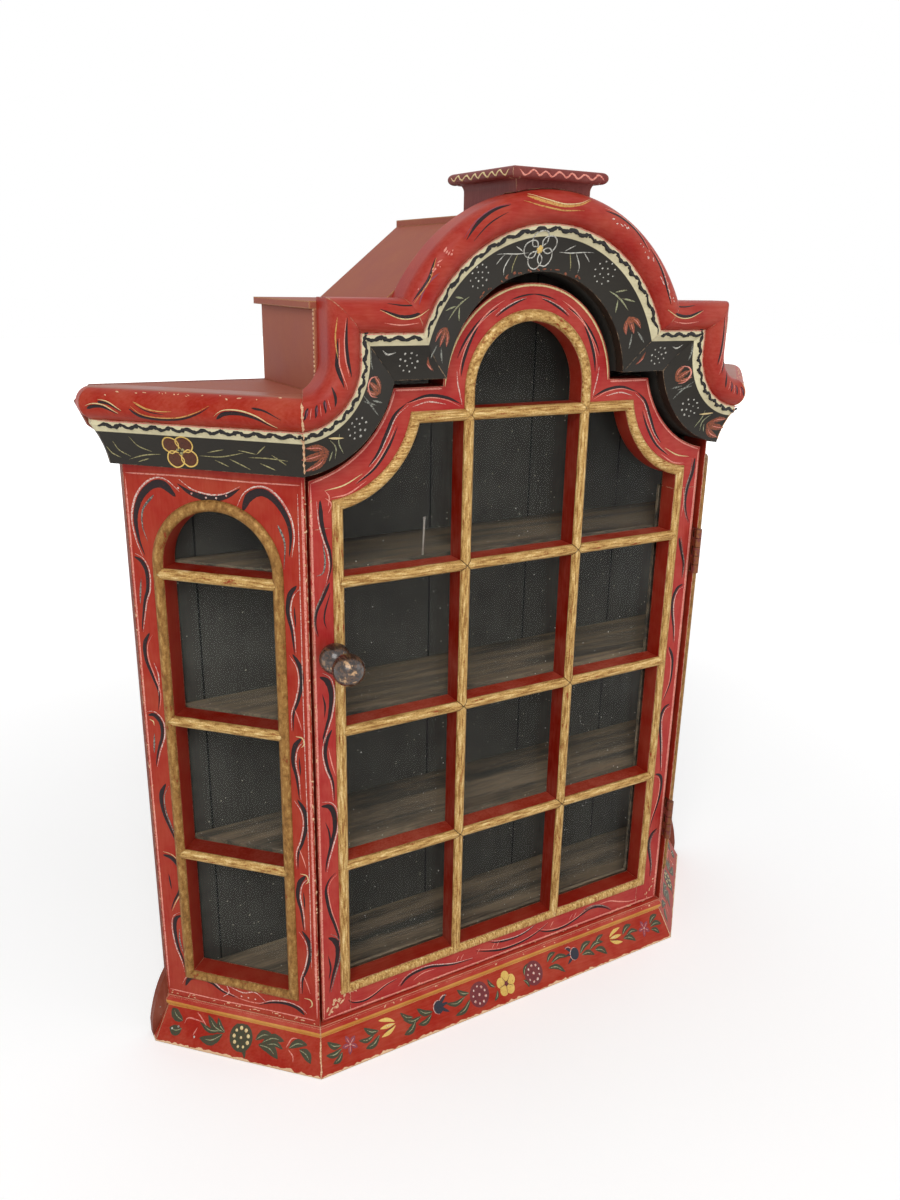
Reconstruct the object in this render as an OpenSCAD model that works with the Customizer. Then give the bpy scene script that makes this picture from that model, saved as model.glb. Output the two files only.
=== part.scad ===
// Display case for thimbles: a canted cabinet with a glazed, arched door under a bonnet top.
// Lengths are in millimetres. x runs to the right, y to the back and z up. The origin is on
// the surface that the case stands on, below the middle of its overall depth.

/* [Case] */
// Width of the front between its two canted corners
front_w = 231.6; // [200:0.2:280]
// Length of each canted side, along its outer face
cant_w = 88.5; // [70:0.5:120]
// Angle between the front and each canted side
cant_angle = 45; // [40:1:50]
// Height of the cornice's lower edge at the front corners
body_h = 315; // [290:1:380]
// Thickness of the side panels
side_t = 13.5; // [12:0.5:16]
// Thickness of the back board
back_t = 5; // [3:0.5:8]
// Thickness of the floor board
floor_t = 11.6; // [6:0.2:14]
// Thickness of the shelves
shelf_t = 6; // [4:0.5:8]
// Height of the middle of the lowest shelf
shelf_z = 115; // [90:1:125]
// Height from the upper bars to the door's spring bar
top_light_h = 72.4; // [66:0.1:80]
// Distance from the door's back to the shelves' front edges
shelf_gap = 1; // [0.5:0.1:6]
// Length of the pin that stands on the top shelf
pin_len = 19; // [8:1:30]
// Distance of that pin to the left of the middle
pin_left = 48.5; // [40:0.5:90]
// Distance of that pin behind the shelf's front edge
pin_in = 1.2; // [1:0.1:20]
// Diameter of that pin's shank
pin_d = 1; // [0.8:0.1:1.6]
// Diameter of that pin's head
pin_head_d = 1.8; // [1.4:0.1:3]
// Lean of that pin to the right, in degrees
pin_lean = 2.6; // [0:0.2:5]

/* [Plinth] */
// Height of the plinth, moulding included
plinth_h = 24.4; // [22:0.2:40]
// Height of the flared fascia below the moulding
fascia_h = 16.7; // [10:0.1:18]
// How far the fascia flares out at its foot
plinth_flare = 9.7; // [4:0.1:16]
// How far the fascia's top edge stands out
fascia_out = 0.8; // [0.4:0.1:2]
// How far the moulding above the fascia stands out
moulding_out = 1.6; // [1:0.1:3]
// Width of the two grooves beside that moulding
quirk_w = 0.6; // [0.4:0.1:1]
// How far the bottoms of those grooves stand out
quirk_out = 0.4; // [0.2:0.1:0.8]
// Thickness of the plinth boards at their top
plinth_t = 20; // [18:0.5:30]
// Height over which the back board narrows behind the plinth
ear_h = 38; // [30:1:60]

/* [Door] */
// Gap between the door's edges and the side panels
door_gap = 2.2; // [2:0.1:3]
// Gap between the door's bottom edge and the plinth
door_lift = 0.6; // [0.4:0.1:1.5]
// Gap between the door's shoulders and the cornice
head_gap = 4; // [3:0.1:6]
// Gap between the door's arch and the cornice's arch
arch_gap = 2.3; // [1.5:0.1:4]
// How much lower the door's arch is centred than the cornice's
arch_drop = 2.5; // [0:0.1:4]
// Thickness of the door
door_t = 14; // [13:0.5:16]
// Width of the door's stiles, beads included
stile_w = 16; // [13:0.5:20]
// Height of the door's bottom rail, bead included
rail_h = 18.5; // [14:0.5:26]
// Width of the gold beads and of the glazing bars
bead_w = 5.4; // [4:0.1:7]
// Height of the gold beads, and how far the door's face lies behind the front plane
bead_h = 2; // [1:0.1:2.6]
// Hairline gap at the mitres of the beads
mitre_gap = 0.05; // [0.03:0.01:0.1]
// How far the middle of the spring bar lies below the centre of the door's arch
spring_drop = 10.6; // [6:0.1:16]
// Radius of the window's shoulders, at the inner edge of the bead
light_r = 49.2; // [44:0.2:52]
// How far the centre of a window shoulder lies inside the door's edge
light_in = 6.5; // [5:0.1:9]
// How far that centre lies below the centre of the cornice's quarter
light_drop = 16.9; // [14:0.1:19]
// How far the joint of the stiles and the head lies below the cornice's lower edge
head_joint_drop = 25; // [21:1:45]

/* [Glass] */
// Thickness of the glass
glass_t = 2; // [1.6:0.1:2.4]
// Thickness of the strips that hold the door's glass from behind
strip_t = 2; // [1:0.1:3]
// Width of the rebates that hold the glass
rebate_w = 3; // [2.5:0.1:3.5]
// Play between the glass and its rebate
glass_play = 0.3; // [0.2:0.1:0.5]
// Depth of the side glass inside the panels' inner faces
side_glass_in = 1; // [0.5:0.1:2]
// Width of the side panels' stiles, beads included
side_stile_w = 17; // [15:0.5:22]
// Height of the side arches' centres above the upper bars
stilt_h = 4.2; // [3:0.1:12]

/* [Cornice] */
// Height of the cornice's profile
cornice_h = 34; // [28:0.5:40]
// Radius of the cornice's torus
torus_r = 7; // [5:0.1:8]
// Distance of the torus's centre in front of the cornice's back
torus_out = 10; // [8:0.1:12]
// Distance of the cream band in front of the cornice's back
band_out = 12.4; // [11.6:0.1:14]
// Height of the cream band
band_h = 3.6; // [2:0.1:5]
// Width of the cornice's lower lip
lip_w = 5.2; // [4:0.1:7]
// How much the cove rises outwards below the band
cove_out = 6.2; // [4:0.1:8]
// Hollow of the cove, from its chord
cove_sag = 0.9; // [0.3:0.1:1.6]
// Radius of the cornice's quarter at its lower edge
quarter_r = 48; // [44:0.5:56]
// Height of the step above the cornice's lower edge at the corners
step_h = 38.7; // [35:0.1:45]
// Radius of the cornice's arch at its lower edge
arch_r = 50; // [44:0.5:56]
// Height of the centre of the arch above the cornice's lower edge at the corners
arch_h = 34.5; // [30:0.5:40]
// Thickness of the head board behind the cornice
head_t = 12; // [8:0.5:16]
// Thickness of the deck boards beside the bonnet
deck_t = 8; // [5:0.5:10]

/* [Bonnet] */
// How far the bonnet's side walls stand in from the front's corners
bonnet_in = 5.8; // [0:0.1:12]
// Thickness of the bonnet's side walls
wall_t = 6; // [4:0.5:8]
// How far the shoulder boards lie below the top of the cornice's step
shoulder_drop = 1.7; // [0:0.1:6]
// How far the crown board lies below the top of the cornice's arch
crown_drop = 11.5; // [5:0.5:20]
// Width of a shoulder board, from its outer edge to the foot of the slope
shoulder_w = 33; // [28:0.5:38]
// Width of the crown board
crown_w = 76; // [68:0.5:88]
// Thickness of the thin roof boards
board_t = 3; // [2:0.5:4]
// Overhang of the shoulder boards past the walls
eave = 2; // [0:0.5:4]

/* [Pedestal] */
// Height of the pedestal's top above the top of the cornice's arch
pedestal_rise = 8; // [4:0.5:20]
// Width of the pedestal's top
pedestal_w = 50.8; // [44:0.2:60]
// Distance of the pedestal's front edge in front of the front plane
pedestal_out = 15; // [8:0.5:20]
// Depth of the pedestal from front to back
pedestal_d = 55; // [40:1:60]
// Height of the pedestal's rounded band
pedestal_band = 5; // [3:0.1:7]
// How far the pedestal's neck is drawn in
pedestal_in = 5.6; // [4:0.1:8]
// Gap between the pedestal's scribed foot and the cornice's arch
scribe = 0.3; // [0.2:0.1:1]

/* [Knob and hinges] */
// Height of the knob
knob_z = 231; // [150:1:260]
// Distance of the knob's axis inside the door's edge
knob_in = 7.7; // [7:0.1:8.5]
// Diameter of the knob's ball
knob_d = 14.9; // [11:0.1:18]
// Distance of the ball's centre in front of the door's face
knob_reach = 22.5; // [19:0.5:26]
// Diameter of the knob's round foot
knob_foot_d = 14.6; // [10:0.1:15]
// Diameter of the knob's neck and waist
knob_neck_d = 7; // [5.5:0.1:9]
// Gap between the knob's round foot and the bead beside it
knob_clear = 0.1; // [0.05:0.05:0.5]
// Diameter of the spigot that holds the knob in its stile
spigot_d = 5; // [3:0.1:6]
// Play of the spigot in its hole, all round
spigot_play = 0.05; // [0.02:0.01:0.1]
// How far the middle of the upper hinge lies below the cornice's lower edge
upper_hinge_drop = 61; // [40:1:95]
// Height of the lower hinge's middle
lower_hinge_z = 83; // [70:1:120]
// Length of a hinge
hinge_h = 25; // [20:0.5:32]
// Thickness of a hinge leaf
leaf_t = 0.9; // [0.7:0.05:0.95]
// Depth of a hinge leaf behind the front plane
leaf_d = 11; // [9:0.5:12]
// Outer radius of the hinge knuckles
knuckle_r = 2; // [1.7:0.05:2.1]
// Distance of the hinge pin's axis in front of the front plane
pin_out = 2.1; // [2.1:0.1:2.6]
// Radius of the hinge pin
pin_r = 0.9; // [0.7:0.05:1]
// Running play of the hinge pin, all round
pin_play = 0.04; // [0.02:0.01:0.1]
// Gap between two knuckles
knuckle_gap = 0.3; // [0.2:0.05:0.5]
// Shank radius of the hinge screws
screw_r = 0.9; // [0.7:0.05:1.1]
// Length of the hinge screws
screw_len = 8; // [6:0.5:9]

/* [Hidden] */
$fn = 96;

red = "#be3a26";
roof_red = "#925448";
gold = "#ba9854";
dark = "#34312c";
brass = "#8a5a3a";
clear = "#9fb4b4";

// Plan: the right canted side starts at the front corner and ends at the rear corner.
front_half = front_w / 2;
rear_x = front_half + cant_w * cos(cant_angle);
rear_y = cant_w * sin(cant_angle);
inner_y = side_t / cos(cant_angle);
front_mitre = tan(cant_angle / 2);
rear_mitre = tan((90 - cant_angle) / 2);
// Longer than any piece, for cutting tools
far = 400;
// How far a cutting tool runs past the face that it cuts
past = 1;

// The knob's ball is the foremost point, so it sets the middle of the overall depth.
knob_front = knob_reach - bead_h + knob_d / 2;
front_y = (knob_front - rear_y - back_t) / 2;

// Heights along the cornice
deck_z = body_h + cornice_h;
step_z = body_h + step_h;
arch_z = body_h + arch_h;
arch_top_z = arch_z + arch_r + cornice_h;

// Door outline and window
door_half = front_half - door_gap;
door_foot_z = plinth_h + door_lift;
sill_z = door_foot_z + rail_h;
quarter_x = front_half + (torus_out + torus_r) * front_mitre;
quarter_z = body_h + quarter_r;
light_half = door_half - stile_w;
light_x = door_half - light_in;
light_z = quarter_z - light_drop;
door_arch_z = arch_z - arch_drop;
spring_z = door_arch_z - spring_drop;
light_top_z = spring_z - bead_w / 2;
pane_w = (2 * light_half - 2 * bead_w) / 3;
bar_x = (pane_w + bead_w) / 2;
door_arch_r = arch_r - arch_gap;
head_joint_z = body_h - head_joint_drop;
bar_depth = door_t - strip_t - glass_t;
glass_y = bead_h + bar_depth;
bead_r = (pow(bead_w / 2, 2) + pow(bead_h, 2)) / (2 * bead_h);

// The shelves stand level with the glazing bars.
shelf_front_y = bead_h + door_t + shelf_gap;
shelf_pitch = (spring_z - top_light_h - shelf_z) / 2;
bar_levels = [for (i = [0 : 2]) shelf_z + i * shelf_pitch];

// Side windows, in the panel's own plane
side_reveal = side_t - side_glass_in - glass_t;
side_window_w = cant_w - 2 * side_stile_w;
side_arch_r = side_window_w / 2;
side_arch_z = bar_levels[2] + stilt_h;

// Cornice profile
cove_top_w = cornice_h - 2 * torus_r - band_h;
cove_mid = [cove_top_w / 2, lip_w + cove_out / 2];
cove_half = norm([cove_top_w, cove_out]) / 2;
cove_r = (pow(cove_half, 2) + pow(cove_sag, 2)) / (2 * cove_sag);
cove_dir = [-cove_out, cove_top_w] / (2 * cove_half);
cove_centre = cove_mid + cove_dir * (cove_r - cove_sag);

// Bonnet
wall_half = front_half - bonnet_in;
shoulder_top_z = step_z + cornice_h - shoulder_drop;
crown_z = arch_top_z - crown_drop;
crown_half = crown_w / 2;
slope_foot = wall_half + eave - shoulder_w;
slope_angle = atan((crown_z - board_t - shoulder_top_z) / (slope_foot - crown_half));
slope_drop = board_t / cos(slope_angle);
slope_in = slope_drop / tan(slope_angle);
pedestal_top_z = arch_top_z + pedestal_rise;

// Hinges, at the right edge of the door
hinge_x = front_half - door_gap / 2;
hinge_y = -pin_out;
knuckle_count = 5;
knuckle_h = (hinge_h - (knuckle_count - 1) * knuckle_gap) / knuckle_count;
knuckle_bore_r = pin_r + pin_play;
hinge_levels = [lower_hinge_z, body_h - upper_hinge_drop];

// The knob's axis, and its round foot, which stands just clear of the bead beside it
knob_x = door_half - knob_in;
knob_foot_reach = bead_h - bead_r
    + sqrt(pow(knob_foot_d / 2 + bead_r + knob_clear, 2) - pow(knob_x - light_half - bead_w / 2, 2));

// The point a little past b on the line from a
function beyond(a, b) = b + (b - a) * past / norm(b - a);

// Moves a piece from the front plane to its place about the origin.
module from_front() {
    translate([0, front_y, 0]) children();
}

// side is 1 on the right and -1 on the left.
module on_hand(side) {
    mirror([side < 0 ? 1 : 0, 0, 0]) children();
}

// Local frame of a canted side: x along its face to the back, y into the case.
module on_side(side) {
    on_hand(side) translate([front_half, 0, 0]) rotate([0, 0, cant_angle]) children();
}

// Local frame of a short return at the rear corner.
module on_return(side) {
    on_hand(side) translate([rear_x, rear_y, 0]) rotate([0, 0, 90]) children();
}

// A profile drawn as (height, outwards) becomes a moulding that runs along x.
module along_x(from, to) {
    translate([from, 0, 0]) rotate(a = 180, v = [1, 0, 1]) linear_extrude(to - from) children();
}

// A flat shape drawn as (x, z) becomes a board between two depths.
module board(y0, y1) {
    translate([0, y1, 0]) rotate([90, 0, 0]) linear_extrude(y1 - y0) children();
}

// A profile drawn as (radius, outwards) turns about a centre in the front plane.
module swept(x, z, from, turn) {
    translate([x, 0, z]) rotate([90, 0, 0]) rotate([0, 0, from])
        rotate_extrude(angle = turn) children();
}

// Plan of what lies between the mitres of the two front corners.
module front_zone() {
    reach = far / 4;
    shift = reach * front_mitre;
    polygon([
        [front_half + shift, -reach], [front_half - shift, reach],
        [shift - front_half, reach], [-front_half - shift, -reach],
    ]);
}

// Plan of what lies between the mitres of one canted side, in that side's frame.
module side_zone() {
    polygon([
        [-far * front_mitre, -far], [far * front_mitre, far],
        [cant_w - far / tan(cant_angle), far], [cant_w, 0], [cant_w + far * rear_mitre, -far],
    ]);
}

// Plan of what lies between the rear mitre and the back board, in the return's frame.
module return_zone() {
    polygon([[0, 0], [-far * rear_mitre, -far], [0, -far]]);
}

module keep(height) {
    intersection() {
        children(0);
        translate([0, 0, -past]) linear_extrude(height + 2 * past) children(1);
    }
}

// Mouldings

// The half-round section of a bead, on its seat and centred on it
module bead_section() {
    intersection() {
        translate([0, bead_h - bead_r]) circle(bead_r);
        translate([-bead_w / 2, 0]) square([bead_w, bead_h]);
    }
}

// A round arch of bead about its centre
module arch_bead(radius) {
    rotate([90, 0, 0]) rotate_extrude(angle = 180) translate([radius, 0]) bead_section();
}

// An upright bead that hangs down from the level of that centre
module bead_leg(x, length) {
    translate([x, 0, 0]) rotate([180, 0, 0]) linear_extrude(length) bead_section();
}

// A glazing bar along x: a square stem, and a beaded nose that runs on into the frame's beads
module bar_along_x(from, to, depth) {
    along_x(from, to) translate([-bead_w / 2, -depth]) square([bead_w, depth]);
    along_x(from - bead_w / 2, to + bead_w / 2) bead_section();
}

// The section of the cornice, as (height, outwards)
module cornice_section() {
    difference() {
        union() {
            polygon([
                [0, 0], [cornice_h, 0], [cornice_h, torus_out],
                [cove_top_w + band_h + torus_r / 2, torus_out], [cove_top_w + band_h, band_out],
                [cove_top_w, band_out], [cove_top_w, lip_w + cove_out], [0, lip_w],
            ]);
            translate([cornice_h - torus_r, torus_out]) circle(torus_r);
        }
        translate(cove_centre) circle(cove_r);
    }
}

// The section of the plinth, as (height, outwards)
module plinth_section() {
    moulding_r = (plinth_h - fascia_h - 2 * quirk_w) / 2;
    polygon([
        [0, -plinth_t], [plinth_h, -plinth_t], [plinth_h, quirk_out],
        [fascia_h + quirk_w, quirk_out], [fascia_h, fascia_out], [0, plinth_flare],
    ]);
    translate([plinth_h - quirk_w - moulding_r, moulding_out - moulding_r]) circle(moulding_r);
}

// Case

function mirrored(points) =
    concat(points, [for (i = [len(points) - 1 : -1 : 0]) [-points[i][0], points[i][1]]]);

// How far the curves of the back board's ears are drawn towards their corners
ear_pull = 0.7;

// Points of a quadratic curve from a to c, drawn towards b
function curve(a, b, c, steps = 6) =
    [for (i = [0 : steps]) let (t = i / steps) a * pow(1 - t, 2) + b * 2 * t * (1 - t) + c * pow(t, 2)];

// Right half of the outline under the roof boards, from the deck up
roof_line = [
    [wall_half - wall_t, deck_z - deck_t], [wall_half - wall_t, shoulder_top_z - board_t],
    [slope_foot, shoulder_top_z - board_t], [slope_foot, shoulder_top_z - slope_drop],
    [crown_half - slope_in, crown_z - board_t],
];

module back_board() {
    lower_ear = curve([rear_x + plinth_flare, fascia_h / 2],
        [rear_x + plinth_flare * ear_pull, ear_h * ear_pull], [rear_x, ear_h]);
    upper_ear = curve([rear_x, body_h], [rear_x + lip_w, body_h + cove_top_w * ear_pull],
        [rear_x + band_out, body_h + cove_top_w]);
    from_front() color(dark) board(rear_y, rear_y + back_t) polygon(mirrored(concat(
        [[rear_x + plinth_flare, 0]], lower_ear, upper_ear,
        [[rear_x + torus_out + torus_r, deck_z - torus_r], [rear_x + torus_out, deck_z],
         [wall_half - wall_t, deck_z]],
        [for (i = [1 : len(roof_line) - 1]) roof_line[i]]
    )));
}

// Plan of the space between the side panels, from a front edge to the back board
module inside_plan(front_edge) {
    polygon(mirrored([
        [front_half, front_edge], [front_half, inner_y],
        [front_half + (rear_y - inner_y) / tan(cant_angle), rear_y],
    ]));
}

module floor_board() {
    from_front() color(dark) translate([0, 0, plinth_h]) linear_extrude(floor_t)
        inside_plan(shelf_front_y);
}

module shelf(level) {
    from_front() color(dark) translate([0, 0, bar_levels[level] - shelf_t / 2])
        linear_extrude(shelf_t) inside_plan(shelf_front_y);
}

// A headed pin that stands on the top shelf, its foot cut level
module shelf_pin() {
    head_r = pin_head_d / 2;
    from_front() color(brass)
        translate([-pin_left, shelf_front_y + pin_in, bar_levels[2] + shelf_t / 2]) difference() {
            rotate([0, pin_lean, 0]) {
                translate([0, 0, -past]) cylinder(d = pin_d, h = pin_len + past - head_r / 2);
                intersection() {
                    translate([0, 0, pin_len - head_r]) sphere(head_r);
                    translate([0, 0, pin_len - head_r]) cylinder(r = head_r, h = head_r);
                }
            }
            translate([-past, -past, -2 * past]) cube(2 * past);
        }
}

// The window of a side panel, grown by a margin, in the panel's plane
module side_window(margin) {
    x = cant_w / 2;
    translate([x - side_arch_r - margin, sill_z - margin])
        square([side_window_w + 2 * margin, side_arch_z - sill_z + margin]);
    translate([x, side_arch_z]) circle(side_arch_r + margin);
}

module side_panel(side) {
    color(red) from_front() difference() {
        on_hand(side) translate([0, 0, plinth_h])
            linear_extrude(deck_z - deck_t - plinth_h) polygon([
                [front_half, 0], [rear_x, rear_y],
                [front_half + (rear_y - inner_y) / tan(cant_angle), rear_y],
                [front_half, inner_y],
            ]);
        on_side(side) board(-past, side_t + past) side_window(0);
        on_side(side) board(side_reveal, side_t + past) side_window(rebate_w);
    }
}

module side_glass(side) {
    color(clear, 0.35) from_front() on_side(side) board(side_reveal, side_reveal + glass_t)
        side_window(rebate_w - glass_play);
}

// Drawn about the arch's centre: two upright beads, an arch and a sill bead, mitred at the corners
module side_beads(side) {
    reach = side_arch_r + bead_w / 2;
    leg = side_arch_z - sill_z;
    inner = [side_arch_r, -leg];
    outer = inner + [bead_w, -bead_w];
    gap = [0, mitre_gap];
    color(gold) from_front() on_side(side) translate([cant_w / 2, 0, side_arch_z]) {
        arch_bead(reach);
        for (hand = [-1, 1]) intersection() {
            bead_leg(hand * reach, leg + bead_w + past);
            on_hand(hand) board(-bead_h - past, past) polygon([
                beyond(inner, outer) + gap, beyond(outer, inner) + gap,
                [side_arch_r - past, past], [side_arch_r + bead_w + past, past],
            ]);
        }
        intersection() {
            along_x(-far / 2, far / 2) translate([-leg - bead_w / 2, 0]) bead_section();
            board(-bead_h - past, past)
                polygon(mirrored([beyond(inner, outer), beyond(outer, inner)]));
        }
    }
}

// The side bars' noses are coped over the upright beads.
module side_bars(side) {
    x = cant_w / 2;
    reach = side_arch_r + bead_w / 2;
    color(gold) from_front() on_side(side) difference() {
        for (z = bar_levels) translate([0, 0, z])
            bar_along_x(x - side_arch_r, x + side_arch_r, side_reveal);
        for (hand = [-1, 1]) translate([x + hand * reach, 0, 0]) mirror([0, 1, 0])
            linear_extrude(side_arch_z) bead_section();
    }
}

// Plinth

module plinth_front() {
    color(red) from_front() keep(plinth_h) {
        along_x(-far / 2, far / 2) plinth_section();
        front_zone();
    }
}

module plinth_side(side) {
    color(red) from_front() on_side(side) keep(plinth_h) {
        along_x(-far / 4, cant_w + far / 4) plinth_section();
        side_zone();
    }
}

module plinth_return(side) {
    color(red) from_front() on_return(side) keep(plinth_h) {
        along_x(-far / 4, 0) plinth_section();
        return_zone();
    }
}

// Cornice

// Where the arch's mitre lies at a height above the profile's lower edge
function arch_mitre(w) = [across(arch_r + w, step_z + w - arch_z), step_z + w];

// Where the quarter's mitre lies: on its round part up to the centre, then at 45 degrees
function quarter_mitre(w) =
    let (above = step_z + w - quarter_z)
    [quarter_x - (above < 0 ? across(quarter_r - w, above) : quarter_r - w), step_z + w];

mitre_steps = [for (i = [0 : 6]) cornice_h * i / 6];
mitre_ends = 4;
arch_mitre_line = concat(
    [arch_mitre(0) - [mitre_ends * 0.5, mitre_ends * 2]],
    [for (w = mitre_steps) arch_mitre(w)],
    [arch_mitre(cornice_h) + [mitre_ends, mitre_ends]]);
quarter_mitre_line = concat(
    [quarter_mitre(0) - [mitre_ends, mitre_ends]],
    [for (w = mitre_steps) quarter_mitre(w)],
    [quarter_mitre(cornice_h) + [mitre_ends, mitre_ends]]);

function backwards(points) = [for (i = [len(points) - 1 : -1 : 0]) points[i]];

module cornice_side(side) {
    color(red) from_front() on_side(side) translate([0, 0, body_h]) keep(cornice_h) {
        along_x(-far / 4, cant_w + far / 4) cornice_section();
        side_zone();
    }
}

module cornice_return(side) {
    color(red) from_front() on_return(side) translate([0, 0, body_h]) keep(cornice_h) {
        along_x(-far / 4, 0) cornice_section();
        return_zone();
    }
}

// The hollow quarter over a shoulder of the door, with the upright run above it
module cornice_quarter(side) {
    top = step_z + cornice_h;
    color(red) from_front() on_hand(side) difference() {
        intersection() {
            union() {
                swept(quarter_x, quarter_z, 180, 90)
                    translate([quarter_r, 0]) mirror([1, 0]) cornice_section();
                translate([quarter_x - quarter_r, 0, quarter_z]) mirror([0, 1, 0])
                    linear_extrude(top - quarter_z) cornice_section();
            }
            translate([0, 0, body_h - past]) linear_extrude(far) front_zone();
        }
        board(-far / 4, past) polygon(concat(quarter_mitre_line,
            [[0, top + mitre_ends], [0, step_z - mitre_ends]]));
    }
}

module cornice_step(side) {
    color(red) from_front() on_hand(side) intersection() {
        along_x(0, quarter_x) translate([step_z, 0]) cornice_section();
        board(-far / 4, past) polygon(concat(arch_mitre_line, backwards(quarter_mitre_line)));
    }
}

module cornice_arch() {
    top = arch_z + arch_r + cornice_h;
    half_turn = 180;
    spare_turn = 5;
    start = asin((step_z - arch_z) / arch_r) - spare_turn;
    color(red) from_front() intersection() {
        swept(0, arch_z, start, half_turn - 2 * start) translate([arch_r, 0]) cornice_section();
        board(-far / 4, past) polygon(mirrored(concat(arch_mitre_line, [[far / 4, top]],
            [[0, top + past]])));
    }
}

// The opening of the head board, level with the cornice's lower edge
module head_opening() {
    difference() {
        translate([-quarter_x, 0]) square([2 * quarter_x, step_z]);
        for (side = [-1, 1]) translate([side * quarter_x, quarter_z]) circle(quarter_r);
    }
    translate([0, arch_z]) circle(arch_r);
}

module head_board() {
    from_front() color(red) board(0, head_t) difference() {
        polygon(mirrored(concat(
            [[front_half, body_h], [front_half, deck_z - deck_t]], roof_line)));
        head_opening();
    }
}

module deck(side) {
    color(red) from_front() on_hand(side) translate([0, 0, deck_z - deck_t]) linear_extrude(deck_t)
        intersection() {
            polygon([[0, 0], [front_half, 0], [rear_x, rear_y], [0, rear_y]]);
            translate([wall_half - wall_t, 0]) square(far);
        }
}

// Bonnet

module bonnet_wall(side) {
    color(roof_red) from_front() on_hand(side) translate([wall_half - wall_t, 0, deck_z])
        cube([wall_t, rear_y, shoulder_top_z - board_t - deck_z]);
}

module bonnet_shoulder(side) {
    color(roof_red) from_front() on_hand(side)
        translate([slope_foot, 0, shoulder_top_z - board_t])
            cube([wall_half + eave - slope_foot, rear_y + back_t, board_t]);
}

module bonnet_slope(side) {
    color(roof_red) from_front() on_hand(side) board(0, rear_y + back_t) polygon([
        [slope_foot, shoulder_top_z], [crown_half, crown_z - board_t],
        [crown_half - slope_in, crown_z - board_t], [slope_foot, shoulder_top_z - slope_drop],
    ]);
}

module bonnet_crown() {
    color(roof_red) from_front() translate([-crown_half, 0, crown_z - board_t])
        cube([2 * crown_half, rear_y + back_t, board_t]);
}

// Half of the pedestal's outline for a half width, as (outwards, height)
module pedestal_outline(half) {
    band_r = pedestal_band / 2;
    neck = half - pedestal_in;
    band_z = pedestal_top_z - pedestal_band;
    difference() {
        union() {
            translate([-neck, crown_z]) square([2 * neck, band_z - crown_z + band_r]);
            translate([-half + band_r, band_z - pedestal_in + band_r])
                square([2 * half - 2 * band_r, pedestal_in + pedestal_band - band_r]);
        }
        for (side = [-1, 1]) translate([side * half, band_z - pedestal_in + band_r])
            circle(pedestal_in);
    }
    for (side = [-1, 1]) translate([side * (half - band_r), pedestal_top_z - band_r])
        circle(band_r);
}

// A flat-topped block with a rounded band and a hollow neck, scribed over the cornice's arch
module pedestal() {
    depth_half = pedestal_d / 2;
    color(roof_red) from_front() difference() {
        translate([0, depth_half - pedestal_out, 0]) intersection() {
            board(-depth_half, depth_half) pedestal_outline(pedestal_w / 2);
            rotate([0, 0, 90]) board(-pedestal_w / 2, pedestal_w / 2)
                pedestal_outline(depth_half);
        }
        board(-far / 4, 0) translate([0, arch_z]) circle(arch_r + cornice_h + scribe);
    }
}

// Door

// The door's outline, with concave shoulders and a round arch
module door_outline() {
    difference() {
        translate([-door_half, door_foot_z])
            square([2 * door_half, step_z - head_gap - door_foot_z]);
        for (side = [-1, 1]) translate([side * quarter_x, quarter_z])
            circle(quarter_r + head_gap);
    }
    translate([-door_arch_r, door_foot_z])
        square([2 * door_arch_r, door_arch_z - door_foot_z]);
    translate([0, door_arch_z]) circle(door_arch_r);
}

// The door's window, grown by a margin: three lights wide with an arch over the middle
module door_window(margin) {
    half = light_half + margin;
    middle = pane_w / 2 + margin;
    difference() {
        translate([-half, sill_z - margin]) square([2 * half, light_top_z - sill_z + 2 * margin]);
        for (side = [-1, 1]) difference() {
            translate([side * light_x, light_z]) circle(light_r - margin);
            translate([-light_half / 2, 0]) square([light_half, far]);
        }
    }
    translate([-middle, sill_z]) square([2 * middle, door_arch_z - sill_z]);
    translate([0, door_arch_z]) circle(middle);
}

module door_slab() {
    difference() {
        board(bead_h, bead_h + door_t) door_outline();
        board(0, far / 4) door_window(0);
        board(glass_y, far / 4) door_window(rebate_w);
    }
}

module door_zone(x0, x1, z0, z1) {
    intersection() {
        door_slab();
        translate([x0, 0, z0]) cube([x1 - x0, far / 4, z1 - z0]);
    }
}

module door_stile(side) {
    color(red) from_front() on_hand(side) difference() {
        door_zone(light_half, door_half, door_foot_z, head_joint_z);
        if (side < 0) knob_place() rotate([90, 0, 0])
            cylinder(d = spigot_d + 2 * spigot_play, h = far / 4, center = true);
    }
}

// The knob's axis, on the stile's own hand
module knob_place() {
    translate([knob_x, 0, knob_z]) children();
}

module door_rail() {
    color(red) from_front() door_zone(-light_half, light_half, door_foot_z, sill_z);
}

module door_head() {
    color(red) from_front() door_zone(-door_half, door_half, head_joint_z, far * 2);
}

// Turns sections drawn at x = 0, outwards up, into uprights on the door's face.
module upright(x, z0, z1) {
    translate([x, bead_h, z0]) mirror([0, 1, 0]) linear_extrude(z1 - z0) children();
}

// Where a shoulder bead's two edges meet those of the upright bead and of the level bead
inner_corner = [light_half, light_z - across(light_r, light_half - light_x)];
outer_corner = [light_half + bead_w,
    light_z - across(light_r - bead_w, light_half + bead_w - light_x)];
inner_top = [light_x - across(light_r, light_top_z - light_z), light_top_z];
outer_top = [light_x - across(light_r - bead_w, light_top_z + bead_w - light_z),
    light_top_z + bead_w];

// Distance from a circle's centre line to its rim, for a distance along that line
function across(radius, along) = sqrt(pow(radius, 2) - pow(along, 2));

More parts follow.
